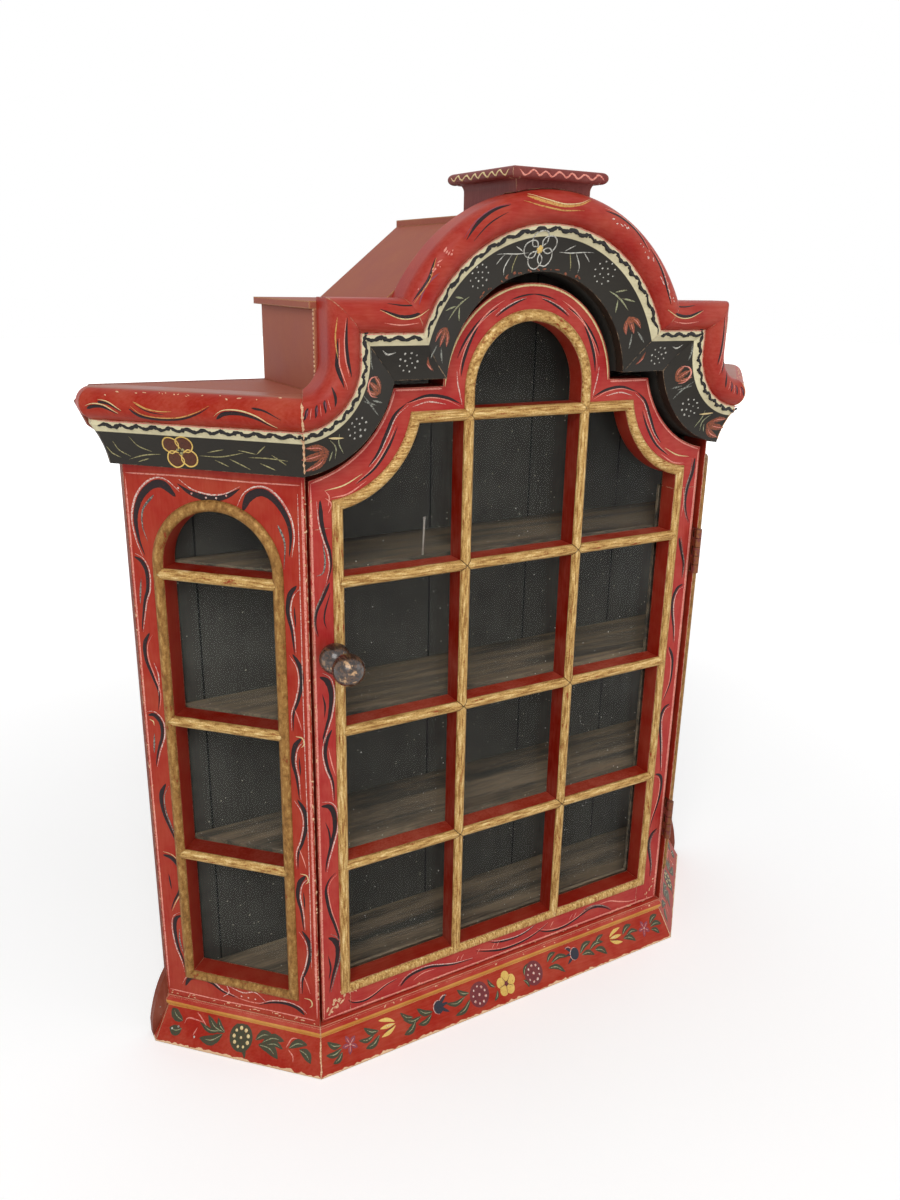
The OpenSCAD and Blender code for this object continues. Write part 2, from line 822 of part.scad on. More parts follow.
// Upright beads and the sill bead
module door_beads() {
    inner = [light_half, sill_z];
    outer = inner + [bead_w, -bead_w];
    gap = [0, mitre_gap];
    color(gold) from_front() {
        for (side = [-1, 1]) on_hand(side) intersection() {
            upright(light_half + bead_w / 2, sill_z - bead_w - past, outer_corner[1] + past)
                bead_section();
            board(-past, bead_h + past) polygon([
                beyond(inner, outer) + gap, beyond(outer, inner) + gap,
                beyond(outer_corner, inner_corner), beyond(inner_corner, outer_corner),
            ]);
        }
        intersection() {
            translate([0, bead_h, sill_z - bead_w / 2]) along_x(-far / 2, far / 2) bead_section();
            board(-past, bead_h + past)
                polygon(mirrored([beyond(inner, outer), beyond(outer, inner)]));
        }
    }
}

// Concave shoulder beads, each with a short level run to the middle arch
module door_shoulder_beads() {
    gap = [mitre_gap, 0];
    color(gold) from_front() for (side = [-1, 1]) on_hand(side) {
        intersection() {
            translate([0, bead_h, 0]) swept(light_x, light_z, 180, 90)
                translate([light_r - bead_w / 2, 0]) bead_section();
            board(-past, bead_h + past) polygon([
                beyond(outer_corner, inner_corner), outer_corner, [light_x, light_z],
                outer_top, beyond(outer_top, inner_top),
                [light_x - light_r, inner_corner[1] - light_r / 4],
            ]);
        }
        difference() {
            intersection() {
                translate([0, bead_h, spring_z]) along_x(bar_x, light_x) bead_section();
                board(-past, bead_h + past) polygon([
                    [0, light_top_z - past], beyond(outer_top, inner_top) - gap,
                    beyond(inner_top, outer_top) - gap, [0, light_top_z + bead_w + past],
                ]);
            }
            arch_leg(1);
        }
    }
}

module arch_leg(side) {
    translate([0, bead_h, door_arch_z]) bead_leg(side * bar_x, door_arch_z - light_top_z);
}

// The arched bead of the middle light, with its two short legs
module door_arch_bead() {
    color(gold) from_front() translate([0, bead_h, door_arch_z]) {
        arch_bead(bar_x);
        for (side = [-1, 1]) bead_leg(side * bar_x, door_arch_z - light_top_z);
    }
}

module bar_upright(side) {
    upright(side * bar_x, sill_z, light_top_z)
        translate([-bead_w / 2, -bar_depth]) square([bead_w, bar_depth]);
    upright(side * bar_x, sill_z - bead_w / 2, light_top_z) bead_section();
}

module door_bar(side) {
    color(gold) from_front() difference() {
        bar_upright(side);
        translate([0, bead_h, sill_z - bead_w / 2]) along_x(-light_half, light_half)
            bead_section();
    }
}

// Three levels of cross bars, each in three lengths, coped over the uprights and the beads
module door_cross_bars() {
    color(gold) from_front() difference() {
        for (z = bar_levels) translate([0, bead_h, z])
            bar_along_x(-light_half, light_half, bar_depth);
        for (side = [-1, 1]) {
            bar_upright(side);
            upright(side * (light_half + bead_w / 2), sill_z, light_top_z) bead_section();
        }
    }
}

module door_spring_bar() {
    color(gold) from_front() difference() {
        translate([0, bead_h, spring_z]) bar_along_x(-pane_w / 2, pane_w / 2, bar_depth);
        for (side = [-1, 1]) arch_leg(side);
    }
}

module door_glass() {
    color(clear, 0.35) from_front() board(glass_y, glass_y + glass_t)
        door_window(rebate_w - glass_play);
}

// Thin strips that hold the glass in its rebate
module door_glass_strips() {
    y = glass_y + glass_t;
    w = rebate_w - glass_play;
    color(dark) from_front() {
        for (side = [-1, 1]) translate([side * (light_half + w / 2) - w / 2, y, sill_z])
            cube([w, strip_t, head_joint_z - sill_z]);
        translate([-light_half, y, sill_z - w]) cube([2 * light_half, strip_t, w]);
    }
}

// A turned knob: neck, round foot, waist and ball on a spigot
module door_knob() {
    color(dark) from_front() on_hand(-1) knob_place()
        translate([0, bead_h, 0]) rotate([90, 0, 0]) {
            translate([0, 0, knob_reach]) sphere(d = knob_d);
            cylinder(d = knob_neck_d, h = knob_reach);
            intersection() {
                translate([0, 0, knob_foot_reach]) sphere(d = knob_foot_d);
                cylinder(d = knob_foot_d + past, h = knob_reach);
            }
            translate([0, 0, -door_t]) cylinder(d = spigot_d, h = door_t + past);
        }
}

// Hinges

module at_hinges() {
    for (z = hinge_levels) translate([hinge_x, hinge_y, z - hinge_h / 2]) children();
}

// Knuckles first, first + 2 and so on of one hinge, bored for the pin
module knuckles(first) {
    for (i = [first : 2 : knuckle_count - 1])
        translate([0, 0, i * (knuckle_h + knuckle_gap)]) cylinder(r = knuckle_r, h = knuckle_h);
}

module leaf(toward, first) {
    seat = toward * door_gap / 2;
    difference() {
        union() {
            translate([min(seat, seat - toward * leaf_t), 0, 0])
                cube([leaf_t, leaf_d + pin_out, hinge_h]);
            knuckles(first);
        }
        for (i = [1 - first : 2 : knuckle_count - 1])
            translate([-far / 4, -knuckle_r - past, i * (knuckle_h + knuckle_gap) - knuckle_gap])
                cube([far / 2, knuckle_r + past + pin_out + knuckle_r / 2,
                      knuckle_h + 2 * knuckle_gap]);
        translate([0, 0, -past]) cylinder(r = knuckle_bore_r, h = hinge_h + 2 * past);
        for (z = screw_levels) translate([0, screw_y, z]) rotate([0, 90, 0])
            cylinder(r = screw_r + pin_play, h = far, center = true);
    }
}

screw_levels = [hinge_h * 0.25, hinge_h * 0.75];
screw_y = pin_out + leaf_d * 0.6;

module hinge_leaves_case() {
    color(brass) from_front() at_hinges() leaf(1, 0);
}

module hinge_leaves_door() {
    color(brass) from_front() at_hinges() leaf(-1, 1);
}

module hinge_pins() {
    color(brass) from_front() at_hinges() cylinder(r = pin_r, h = hinge_h);
}

// Two screws per leaf, their heads in the leaf's own thickness
module hinge_screws(toward) {
    seat = toward * door_gap / 2;
    color(brass) from_front() at_hinges() for (z = screw_levels)
        translate([seat - toward * leaf_t, screw_y, z]) rotate([0, toward * 90, 0])
            cylinder(r = screw_r, h = screw_len);
}

back_board();
floor_board();
side_panel(-1);  // side_panel_left
side_panel(1);  // side_panel_right
side_beads(-1);  // side_beads_left
side_beads(1);  // side_beads_right
side_bars(-1);  // side_bars_left
side_bars(1);  // side_bars_right
side_glass(-1);  // side_glass_left
side_glass(1);  // side_glass_right
plinth_front();
plinth_side(-1);  // plinth_side_left
plinth_side(1);  // plinth_side_right
plinth_return(-1);  // plinth_return_left
plinth_return(1);  // plinth_return_right
shelf(0);  // shelf_lower
shelf(1);  // shelf_middle
shelf(2);  // shelf_upper
shelf_pin();
head_board();
deck(-1);  // deck_left
deck(1);  // deck_right
cornice_side(-1);  // cornice_side_left
cornice_side(1);  // cornice_side_right
cornice_return(-1);  // cornice_return_left
cornice_return(1);  // cornice_return_right
cornice_quarter(-1);  // cornice_quarter_left
cornice_quarter(1);  // cornice_quarter_right
cornice_step(-1);  // cornice_step_left
cornice_step(1);  // cornice_step_right
cornice_arch();
bonnet_wall(-1);  // bonnet_wall_left
bonnet_wall(1);  // bonnet_wall_right
bonnet_shoulder(-1);  // bonnet_shoulder_left
bonnet_shoulder(1);  // bonnet_shoulder_right
bonnet_slope(-1);  // bonnet_slope_left
bonnet_slope(1);  // bonnet_slope_right
bonnet_crown();
pedestal();
door_stile(-1);  // door_stile_left
door_stile(1);  // door_stile_right
door_rail();
door_head();
door_beads();
door_shoulder_beads();
door_arch_bead();
door_bar(-1);  // door_bar_left
door_bar(1);  // door_bar_right
door_cross_bars();
door_spring_bar();
door_glass();
door_glass_strips();
door_knob();
hinge_leaves_case();
hinge_leaves_door();
hinge_pins();
hinge_screws(1);  // hinge_screws_case
hinge_screws(-1);  // hinge_screws_door
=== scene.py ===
import math
import random

import bmesh
import bpy
from mathutils import Euler, Matrix, Vector


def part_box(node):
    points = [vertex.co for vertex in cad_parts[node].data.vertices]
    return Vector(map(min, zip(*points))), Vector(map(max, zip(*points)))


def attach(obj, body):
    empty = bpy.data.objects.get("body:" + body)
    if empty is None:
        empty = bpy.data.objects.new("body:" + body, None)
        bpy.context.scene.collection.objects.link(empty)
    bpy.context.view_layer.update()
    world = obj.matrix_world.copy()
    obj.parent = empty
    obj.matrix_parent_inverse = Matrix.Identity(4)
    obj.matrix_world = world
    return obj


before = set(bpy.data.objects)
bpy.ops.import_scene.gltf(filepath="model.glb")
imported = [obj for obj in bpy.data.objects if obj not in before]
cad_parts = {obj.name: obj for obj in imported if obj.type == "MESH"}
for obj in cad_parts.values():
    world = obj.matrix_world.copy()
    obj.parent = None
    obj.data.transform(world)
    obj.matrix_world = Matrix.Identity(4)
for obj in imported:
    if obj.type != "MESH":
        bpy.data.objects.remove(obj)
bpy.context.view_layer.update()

# Sizes in millimetres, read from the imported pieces
MM = 0.001


def lowest(node):
    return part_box(node)[0] / MM


def highest(node):
    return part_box(node)[1] / MM


DIAGONAL = math.sqrt(0.5)
HALF = highest("head_board").x  # from the middle to a front corner
FRONT = lowest("door_beads").y  # the plane through the tops of the door's beads
FACE = lowest("door_stile_left").y  # the face of the door's frame
REAR = highest("side_panel_right")
CANT_W = math.hypot(REAR.x - HALF, REAR.y - FRONT)
STILE_W = 16.0
DOOR_HALF = highest("door_rail").x + STILE_W  # the rail stands between the stiles
DOOR_FOOT = lowest("door_rail").z
DOOR_TOP = highest("door_head").z
GLASS_FACE = lowest("door_glass").y
PLINTH_TOP = highest("plinth_front").z
DECK = highest("deck_left").z
SHOULDER = highest("bonnet_shoulder_left")
WALL = -lowest("bonnet_wall_left").x

BEAD_W = highest("door_spring_bar").z - lowest("door_spring_bar").z
BAR_X = highest("door_bar_right").x - BEAD_W / 2
SPRING = highest("door_spring_bar").z - BEAD_W / 2
BAR_FOOT = lowest("door_cross_bars").z + BEAD_W / 2
BAR_STEP = (highest("door_cross_bars").z - lowest("door_cross_bars").z - BEAD_W) / 2
BAR_LEVELS = (BAR_FOOT, BAR_FOOT + BAR_STEP, BAR_FOOT + 2 * BAR_STEP, SPRING)

# The cornice's section, as height across it and distance out from the front
CORNICE = lowest("cornice_side_left").z
STEP = lowest("cornice_step_left").z
CORNICE_H = highest("cornice_side_left").z - CORNICE
COVE_FOOT = 5.2
COVE_TOP = Vector((16.4, 11.4))
COVE_SAG = 0.9
COVE_RUN = math.hypot(COVE_TOP.x, COVE_TOP.y - COVE_FOOT)
MITRE = math.tan(math.radians(22.5))  # how far a canted run reaches past the corner for each mm out
BAND_OUT = 12.4
BAND_W = 3.6
CREAM_FOOT = 14.9  # where the cream paint of the band starts and ends
CREAM_HEAD = 20.0
TORUS_R = 7.0
TORUS_AT = Vector((CORNICE_H - TORUS_R, 10.0))
ARCH_R = 50.0
ARCH_Z = highest("cornice_arch").z - CORNICE_H - ARCH_R
QUARTER_R = 48.0
QUARTER_X = HALF + (TORUS_AT.y + TORUS_R) * MITRE
QUARTER_Z = CORNICE + QUARTER_R

# The plinth's section: a fascia that flares to the floor, and a moulding over it
FASCIA_H = 16.7
FASCIA_OUT = 0.8
FLARE = 9.7
MOULDING_R = (PLINTH_TOP - FASCIA_H) / 2 - 0.6
MOULDING_Z = (PLINTH_TOP + FASCIA_H) / 2
MOULDING_IN = 1.6 - MOULDING_R

# The door's outline: an arch over two steps and two hollow shoulders
ARCH_DROP = 2.5  # from the centre of the cornice's arch down to that of the door's
REVEAL = 4.0  # the dark gap between the door and the cornice
DOOR_ARCH_R = DOOR_TOP - (ARCH_Z - ARCH_DROP)
DOOR_ARCH_Z = DOOR_TOP - DOOR_ARCH_R
DOOR_STEP = STEP - REVEAL
DOOR_HOLLOW_R = QUARTER_R + REVEAL


def rgb(red, green, blue):
    """A colour as it is seen, 0 to 255, for a shader's socket."""
    def linear(value):
        share = value / 255
        return share / 12.92 if share <= 0.04045 else ((share + 0.055) / 1.055) ** 2.4
    return (linear(red), linear(green), linear(blue), 1.0)


CASE_RED = rgb(166, 50, 30)
DOOR_RED = rgb(174, 54, 46)
TORUS_RED = rgb(166, 54, 40)
ROOF_RED = rgb(158, 88, 68)
PEDESTAL_RED = rgb(118, 50, 46)
FLANK_RED = rgb(150, 46, 30)
FRIEZE_RED = rgb(176, 50, 36)
MOULDING_RED = rgb(176, 62, 46)
PLINTH_GOLD = rgb(206, 142, 66)
DOOR_INSIDE = rgb(74, 40, 32)
COVE_BLACK = rgb(40, 36, 30)
BAND_CREAM = rgb(218, 208, 170)
GOLD_DARK = rgb(146, 104, 54)
GOLD = rgb(196, 156, 92)
GOLD_LIGHT = rgb(234, 206, 146)
BRONZE_DARK = rgb(124, 86, 42)
BRONZE = rgb(154, 112, 58)
BRONZE_LIGHT = rgb(186, 146, 84)
SEAM_DARK = rgb(52, 30, 20)
SEAM_BLACK = rgb(20, 19, 18)
STAIN = rgb(56, 54, 50)
STAIN_LIGHT = rgb(116, 100, 82)
BARE_WOOD = rgb(150, 112, 74)
BARE_WOOD_DARK = rgb(104, 72, 46)
EAR_RED = rgb(128, 62, 44)
WORN_WOOD = rgb(228, 190, 150)
DUST_PALE = rgb(168, 160, 146)
DUST_DULL = rgb(150, 144, 130)
EDGE_TAN = rgb(206, 158, 108)
KNOB_BLACK = rgb(44, 32, 26)
HINGE_COPPER = rgb(150, 92, 60)
HINGE_PAINT = rgb(112, 44, 38)


# Nodes

def feed(tree, socket, value):
    if isinstance(value, bpy.types.NodeSocket):
        tree.links.new(value, socket)
    else:
        socket.default_value = value


def put(tree, kind, *values, **settings):
    """A node with its first inputs fed in order."""
    node = tree.nodes.new("ShaderNode" + kind)
    for name, value in settings.items():
        setattr(node, name, value)
    for socket, value in zip(node.inputs, values):
        if value is not None:
            feed(tree, socket, value)
    return node


def calc(tree, operation, *values):
    return put(tree, "Math", *values, operation=operation).outputs[0]


def vector_calc(tree, operation, *values):
    node = put(tree, "VectorMath", *values, operation=operation)
    return node.outputs["Value" if operation in ("DOT_PRODUCT", "LENGTH") else "Vector"]


def ramp(tree, value, start, end, low=0.0, high=1.0):
    """value from start to end, eased between low and high."""
    node = put(tree, "MapRange", interpolation_type="SMOOTHSTEP")
    for socket, number in zip(node.inputs, (value, start, end, low, high)):
        feed(tree, socket, number)
    return node.outputs[0]


def blend(tree, share, first, second):
    node = tree.nodes.new("ShaderNodeMix")
    node.data_type = "RGBA"
    for index, value in ((0, share), (6, first), (7, second)):
        feed(tree, node.inputs[index], value)
    return node.outputs[2]


def noise(tree, where, scale, detail=2.0, rough=0.5):
    node = tree.nodes.new("ShaderNodeTexNoise")
    for name, value in (("Vector", where), ("Scale", scale), ("Detail", detail),
                        ("Roughness", rough)):
        feed(tree, node.inputs[name], value)
    return node.outputs["Fac"]


def place(tree):
    """Where a point lies on the object at rest, in metres."""
    return tree.nodes.new("ShaderNodeTexCoord").outputs["Object"]


def axes(tree):
    return put(tree, "SeparateXYZ", place(tree)).outputs


def new_group(name, inputs, outputs):
    tree = bpy.data.node_groups.new(name, "ShaderNodeTree")
    for label, kind, default in inputs:
        socket = tree.interface.new_socket(name=label, in_out="INPUT", socket_type="NodeSocket" + kind)
        socket.default_value = default
    for label, kind in outputs:
        tree.interface.new_socket(name=label, in_out="OUTPUT", socket_type="NodeSocket" + kind)
    return tree, tree.nodes.new("NodeGroupInput").outputs, tree.nodes.new("NodeGroupOutput").inputs


def use(tree, group, **values):
    node = tree.nodes.new("ShaderNodeGroup")
    node.node_tree = group
    for name, value in values.items():
        feed(tree, node.inputs[name], value)
    return node.outputs


# Shared effects

def paint_film_group():
    """Brushed paint: patches, streaks along the board and fine grit."""
    tree, given, out = new_group(
        "paint film",
        [("Paint", "Color", (1, 1, 1, 1)), ("Contrast", "Float", 0.2), ("Stretch", "Vector", (1, 1, 1)),
         ("Gloss", "Float", 0.4)],
        [("Colour", "Color"), ("Roughness", "Float"), ("Height", "Float")])
    where = place(tree)
    stretched = vector_calc(tree, "MULTIPLY", where, given["Stretch"])
    patches = noise(tree, where, 55, 3, 0.6)
    streaks = noise(tree, stretched, 900, 3, 0.6)
    grit = noise(tree, where, 2400, 2, 0.6)
    uneven = calc(tree, "ADD", calc(tree, "MULTIPLY", patches, 0.6), calc(tree, "MULTIPLY", streaks, 0.4))
    swing = calc(tree, "MULTIPLY", calc(tree, "SUBTRACT", uneven, 0.5), given["Contrast"])
    brightness = calc(tree, "MULTIPLY_ADD", swing, 4.0, 1.0)
    saturation = calc(tree, "MULTIPLY_ADD", swing, -1.2, 1.0)
    hue = calc(tree, "MULTIPLY_ADD", calc(tree, "SUBTRACT", patches, 0.5), 0.02, 0.5)
    tinted = tree.nodes.new("ShaderNodeHueSaturation")
    for name, value in (("Hue", hue), ("Saturation", saturation), ("Value", brightness),
                        ("Color", given["Paint"])):
        feed(tree, tinted.inputs[name], value)
    tree.links.new(tinted.outputs[0], out["Colour"])
    tree.links.new(calc(tree, "MULTIPLY_ADD", uneven, 0.45, calc(tree, "SUBTRACT", given["Gloss"], 0.22)),
                   out["Roughness"])
    tree.links.new(calc(tree, "ADD", calc(tree, "MULTIPLY", streaks, 0.7),
                        calc(tree, "MULTIPLY", grit, 0.3)), out["Height"])
    return tree


def edge_wear_group():
    """Where an edge has been rubbed, and the normal of that edge as if it were rounded."""
    tree, given, out = new_group(
        "edge wear",
        [("Radius", "Float", 0.0007), ("Amount", "Float", 0.5), ("Breakup", "Float", 260.0)],
        [("Mask", "Float"), ("Normal", "Vector")])
    rounded = tree.nodes.new("ShaderNodeBevel")
    rounded.samples = 4
    feed(tree, rounded.inputs["Radius"], given["Radius"])
    true = tree.nodes.new("ShaderNodeNewGeometry").outputs["Normal"]
    bent = ramp(tree, vector_calc(tree, "DOT_PRODUCT", rounded.outputs[0], true), 0.99, 0.86)
    patchy = noise(tree, place(tree), given["Breakup"], 4, 0.65)
    needed = calc(tree, "SUBTRACT", 1.02, calc(tree, "MULTIPLY", patchy, given["Amount"]))
    mask = ramp(tree, calc(tree, "SUBTRACT", calc(tree, "MULTIPLY", bent, 0.8), needed), -0.04, 0.06)
    tree.links.new(mask, out["Mask"])
    tree.links.new(rounded.outputs[0], out["Normal"])
    return tree


def gold_grain_group():
    """Bronze paint over a rough ground, with grains that catch the light."""
    tree, given, out = new_group(
        "gold grain",
        [("Dark", "Color", (0, 0, 0, 1)), ("Middle", "Color", (1, 1, 1, 1)),
         ("Light", "Color", (1, 1, 1, 1)),
         ("Stretch", "Vector", (1, 1, 1))],
        [("Colour", "Color"), ("Roughness", "Float"), ("Height", "Float")])
    where = place(tree)
    stretched = vector_calc(tree, "MULTIPLY", where, given["Stretch"])
    streaks = noise(tree, stretched, 1000, 3, 0.6)
    stipple = noise(tree, where, 1500, 2, 0.6)
    grains = calc(tree, "ADD", calc(tree, "MULTIPLY", streaks, 0.72),
                  calc(tree, "MULTIPLY", stipple, 0.28))
    patches = noise(tree, where, 90, 2, 0.5)
    base = blend(tree, ramp(tree, grains, 0.38, 0.52), given["Dark"], given["Middle"])
    bright = blend(tree, ramp(tree, grains, 0.52, 0.66), base, given["Light"])
    worn = calc(tree, "MULTIPLY", ramp(tree, grains, 0.44, 0.36), ramp(tree, patches, 0.55, 0.65))
    tree.links.new(blend(tree, worn, bright, FLANK_RED), out["Colour"])
    tree.links.new(ramp(tree, grains, 0.3, 0.7, 0.62, 0.34), out["Roughness"])
    tree.links.new(grains, out["Height"])
    return tree


def wood_grain_group():
    """Long grain between two tones, with pores and a few scratches."""
    tree, given, out = new_group(
        "wood grain",
        [("Dark", "Color", (0, 0, 0, 1)), ("Light", "Color", (1, 1, 1, 1)),
         ("Stretch", "Vector", (1, 1, 1))],
        [("Colour", "Color"), ("Roughness", "Float"), ("Height", "Float")])
    stretched = vector_calc(tree, "MULTIPLY", place(tree), given["Stretch"])
    rings = noise(tree, stretched, 130, 4, 0.6)
    pores = noise(tree, stretched, 1400, 3, 0.7)
    tone = calc(tree, "ADD", calc(tree, "MULTIPLY", rings, 0.65), calc(tree, "MULTIPLY", pores, 0.35))
    tree.links.new(blend(tree, ramp(tree, tone, 0.36, 0.64), given["Dark"], given["Light"]),
                   out["Colour"])
    tree.links.new(ramp(tree, tone, 0.3, 0.7, 0.5, 0.8), out["Roughness"])
    tree.links.new(tone, out["Height"])
    return tree


def dust_group():
    """Loose specks of pale dust."""
    tree, given, out = new_group(
        "dust", [("Scale", "Float", 380.0), ("Cover", "Float", 0.2)], [("Mask", "Float")])
    cells = tree.nodes.new("ShaderNodeTexVoronoi")
    feed(tree, cells.inputs["Vector"], place(tree))
    feed(tree, cells.inputs["Scale"], given["Scale"])
    chosen = put(tree, "SeparateColor", cells.outputs["Color"]).outputs[0]
    here = calc(tree, "LESS_THAN", chosen, given["Cover"])
    tree.links.new(calc(tree, "MULTIPLY", here, ramp(tree, cells.outputs["Distance"], 0.22, 0.1)),
                   out["Mask"])
    return tree


PAINT_FILM = paint_film_group()
EDGE_WEAR = edge_wear_group()
GOLD_GRAIN = gold_grain_group()
WOOD_GRAIN = wood_grain_group()
DUST = dust_group()


# Masks: each takes a tree and gives a value from 0 to 1 over the surface

def beyond(normal, distance, soft=0.15):
    """On past a plane that lies distance mm along normal."""
    def mask(tree):
        along = vector_calc(tree, "DOT_PRODUCT", place(tree), Vector(normal))
        return ramp(tree, along, (distance - soft) * MM, (distance + soft) * MM)
    return mask


def wavy_beyond(normal, distance, swing, scale):
    """On past a plane, with an edge as if drawn by hand."""
    def mask(tree):
        along = vector_calc(tree, "DOT_PRODUCT", place(tree), Vector(normal))
        wander = calc(tree, "MULTIPLY_ADD", noise(tree, place(tree), scale, 2), 2 * swing * MM,
                      -swing * MM)
        return ramp(tree, calc(tree, "ADD", along, wander), (distance - 0.1) * MM, (distance + 0.1) * MM)
    return mask


def both(first, second):
    return lambda tree: calc(tree, "MULTIPLY", first(tree), second(tree))


def facing(normal, least=0.7):
    """Where the surface faces along normal, in the object's own frame."""
    def mask(tree):
        own = tree.nodes.new("ShaderNodeTexCoord").outputs["Normal"]
        return calc(tree, "GREATER_THAN", vector_calc(tree, "DOT_PRODUCT", own, Vector(normal)), least)
    return mask


def across_moulding(run):
    """How far up the cornice's section a point lies, in metres: run is cant, step, quarter or arch."""
    def height(tree):
        x, y, z = axes(tree)
        if run == "cant":
            return calc(tree, "SUBTRACT", z, CORNICE * MM)
        if run == "step":
            return calc(tree, "SUBTRACT", z, STEP * MM)
        if run == "arch":
            up = calc(tree, "SUBTRACT", z, ARCH_Z * MM)
            reach = put(tree, "CombineXYZ", x, 0.0, up).outputs[0]
            return calc(tree, "SUBTRACT", vector_calc(tree, "LENGTH", reach), ARCH_R * MM)
        aside = calc(tree, "SUBTRACT", calc(tree, "ABSOLUTE", x), QUARTER_X * MM)
        below = calc(tree, "MINIMUM", calc(tree, "SUBTRACT", z, QUARTER_Z * MM), 0.0)
        reach = put(tree, "CombineXYZ", aside, 0.0, below).outputs[0]
        return calc(tree, "SUBTRACT", QUARTER_R * MM, vector_calc(tree, "LENGTH", reach))
    return height


def over(height, start):
    return lambda tree: ramp(tree, height(tree), (start - 0.12) * MM, (start + 0.12) * MM)


# Finishes

PAINT_SHINE = 0.2  # of old, dulled paint


def blank(name):
    material = bpy.data.materials.new(name)
    material.use_nodes = True
    return material, material.node_tree, material.node_tree.nodes["Principled BSDF"]


def bump(tree, shader, height, strength, depth, under=None):
    node = tree.nodes.new("ShaderNodeBump")
    node.inputs["Strength"].default_value = strength
    node.inputs["Distance"].default_value = depth * MM
    tree.links.new(height, node.inputs["Height"])
    if under is not None:
        tree.links.new(under, node.inputs["Normal"])
    tree.links.new(node.outputs[0], shader.inputs["Normal"])


def painted(name, ground, coats=(), stretch=(1, 1, 0.12), contrast=0.2, gloss=0.42, wear=0.5,
            wear_to=WORN_WOOD, edge=0.7, relief=0.25, dust=0.0):
    """Painted wood: coats are (mask, colour) laid over the ground one after another."""
    material, tree, shader = blank(name)
    colour = ground
    for mask, coat in coats:
        colour = blend(tree, mask(tree), colour, coat)
    film = use(tree, PAINT_FILM, Paint=colour, Contrast=contrast, Stretch=stretch, Gloss=gloss)
    rubbed = use(tree, EDGE_WEAR, Radius=edge * MM, Amount=wear)
    shown = blend(tree, rubbed["Mask"], film["Colour"], wear_to)
    if dust:
        shown = blend(tree, use(tree, DUST, Cover=dust)["Mask"], shown, DUST_PALE)
    tree.links.new(shown, shader.inputs["Base Color"])
    tree.links.new(film["Roughness"], shader.inputs["Roughness"])
    shader.inputs["Specular IOR Level"].default_value = PAINT_SHINE
    bump(tree, shader, film["Height"], relief, 0.25, rubbed["Normal"])
    return material


def gold_paint(name, stretch, tones=(GOLD_DARK, GOLD, GOLD_LIGHT), flank=None, flank_colour=FLANK_RED,
               seam=None):
    """Gold paint on beads, with the wood's grain under it. flank masks what lies behind the bead, which
    is painted red, and seam masks dark hairlines where beads meet."""
    material, tree, shader = blank(name)
    dark, middle, light = tones
    grain = use(tree, GOLD_GRAIN, Dark=dark, Middle=middle, Light=light, Stretch=stretch)
    colour, rough, height = grain["Colour"], grain["Roughness"], grain["Height"]
    if seam is not None:
        joint = seam(tree)
        colour = blend(tree, joint, colour, SEAM_DARK)
        height = calc(tree, "SUBTRACT", height, joint)
    if flank is not None:
        behind = flank(tree)
        film = use(tree, PAINT_FILM, Paint=flank_colour, Contrast=0.35, Stretch=(1, 1, 0.1), Gloss=0.45)
        colour = blend(tree, behind, colour, film["Colour"])
        height = calc(tree, "MULTIPLY", height, calc(tree, "SUBTRACT", 1.2, behind))
    rubbed = use(tree, EDGE_WEAR, Radius=0.4 * MM, Amount=0.2)
    tree.links.new(colour, shader.inputs["Base Color"])
    tree.links.new(rough, shader.inputs["Roughness"])
    shader.inputs["Metallic"].default_value = 0.25
    shader.inputs["Specular IOR Level"].default_value = PAINT_SHINE
    bump(tree, shader, height, 0.6, 0.4, rubbed["Normal"])
    return material


def stained(name, dark, light, stretch, coats=(), dust=0.12, relief=0.3):
    """Stained wood with its grain showing; coats are (mask, colour) over it."""
    material, tree, shader = blank(name)
    grain = use(tree, WOOD_GRAIN, Dark=dark, Light=light, Stretch=stretch)
    colour = grain["Colour"]
    for mask, coat in coats:
        film = use(tree, PAINT_FILM, Paint=coat, Contrast=0.4, Stretch=stretch, Gloss=0.6)
        colour = blend(tree, mask(tree), colour, film["Colour"])
    colour = blend(tree, use(tree, DUST, Cover=dust, Scale=420.0)["Mask"], colour, DUST_DULL)
    rubbed = use(tree, EDGE_WEAR, Radius=0.5 * MM, Amount=0.3)
    tree.links.new(colour, shader.inputs["Base Color"])
    tree.links.new(grain["Roughness"], shader.inputs["Roughness"])
    shader.inputs["Specular IOR Level"].default_value = PAINT_SHINE
    bump(tree, shader, grain["Height"], relief, 0.3, rubbed["Normal"])
    return material


def clear_glass():
    """Window glass that lets the lamps through to what stands behind it."""
    material, tree, shader = blank("window glass")
    smears = noise(tree, place(tree), 60, 4, 0.6)
    tree.links.new(ramp(tree, smears, 0.6, 0.8, 0.0, 0.01), shader.inputs["Roughness"])
    tree.links.new(blend(tree, smears, rgb(244, 248, 246), rgb(252, 253, 252)),
                   shader.inputs["Base Color"])
    shader.inputs["Transmission Weight"].default_value = 1.0
    shader.inputs["IOR"].default_value = 1.1  # an old pane in a plain room shows few reflections
    clear = tree.nodes.new("ShaderNodeBsdfTransparent")
    either = tree.nodes.new("ShaderNodeMixShader")
    path = tree.nodes.new("ShaderNodeLightPath")
    tree.links.new(path.outputs["Is Shadow Ray"], either.inputs[0])
    tree.links.new(shader.outputs[0], either.inputs[1])
    tree.links.new(clear.outputs[0], either.inputs[2])
    tree.links.new(either.outputs[0], tree.nodes["Material Output"].inputs["Surface"])
    return material


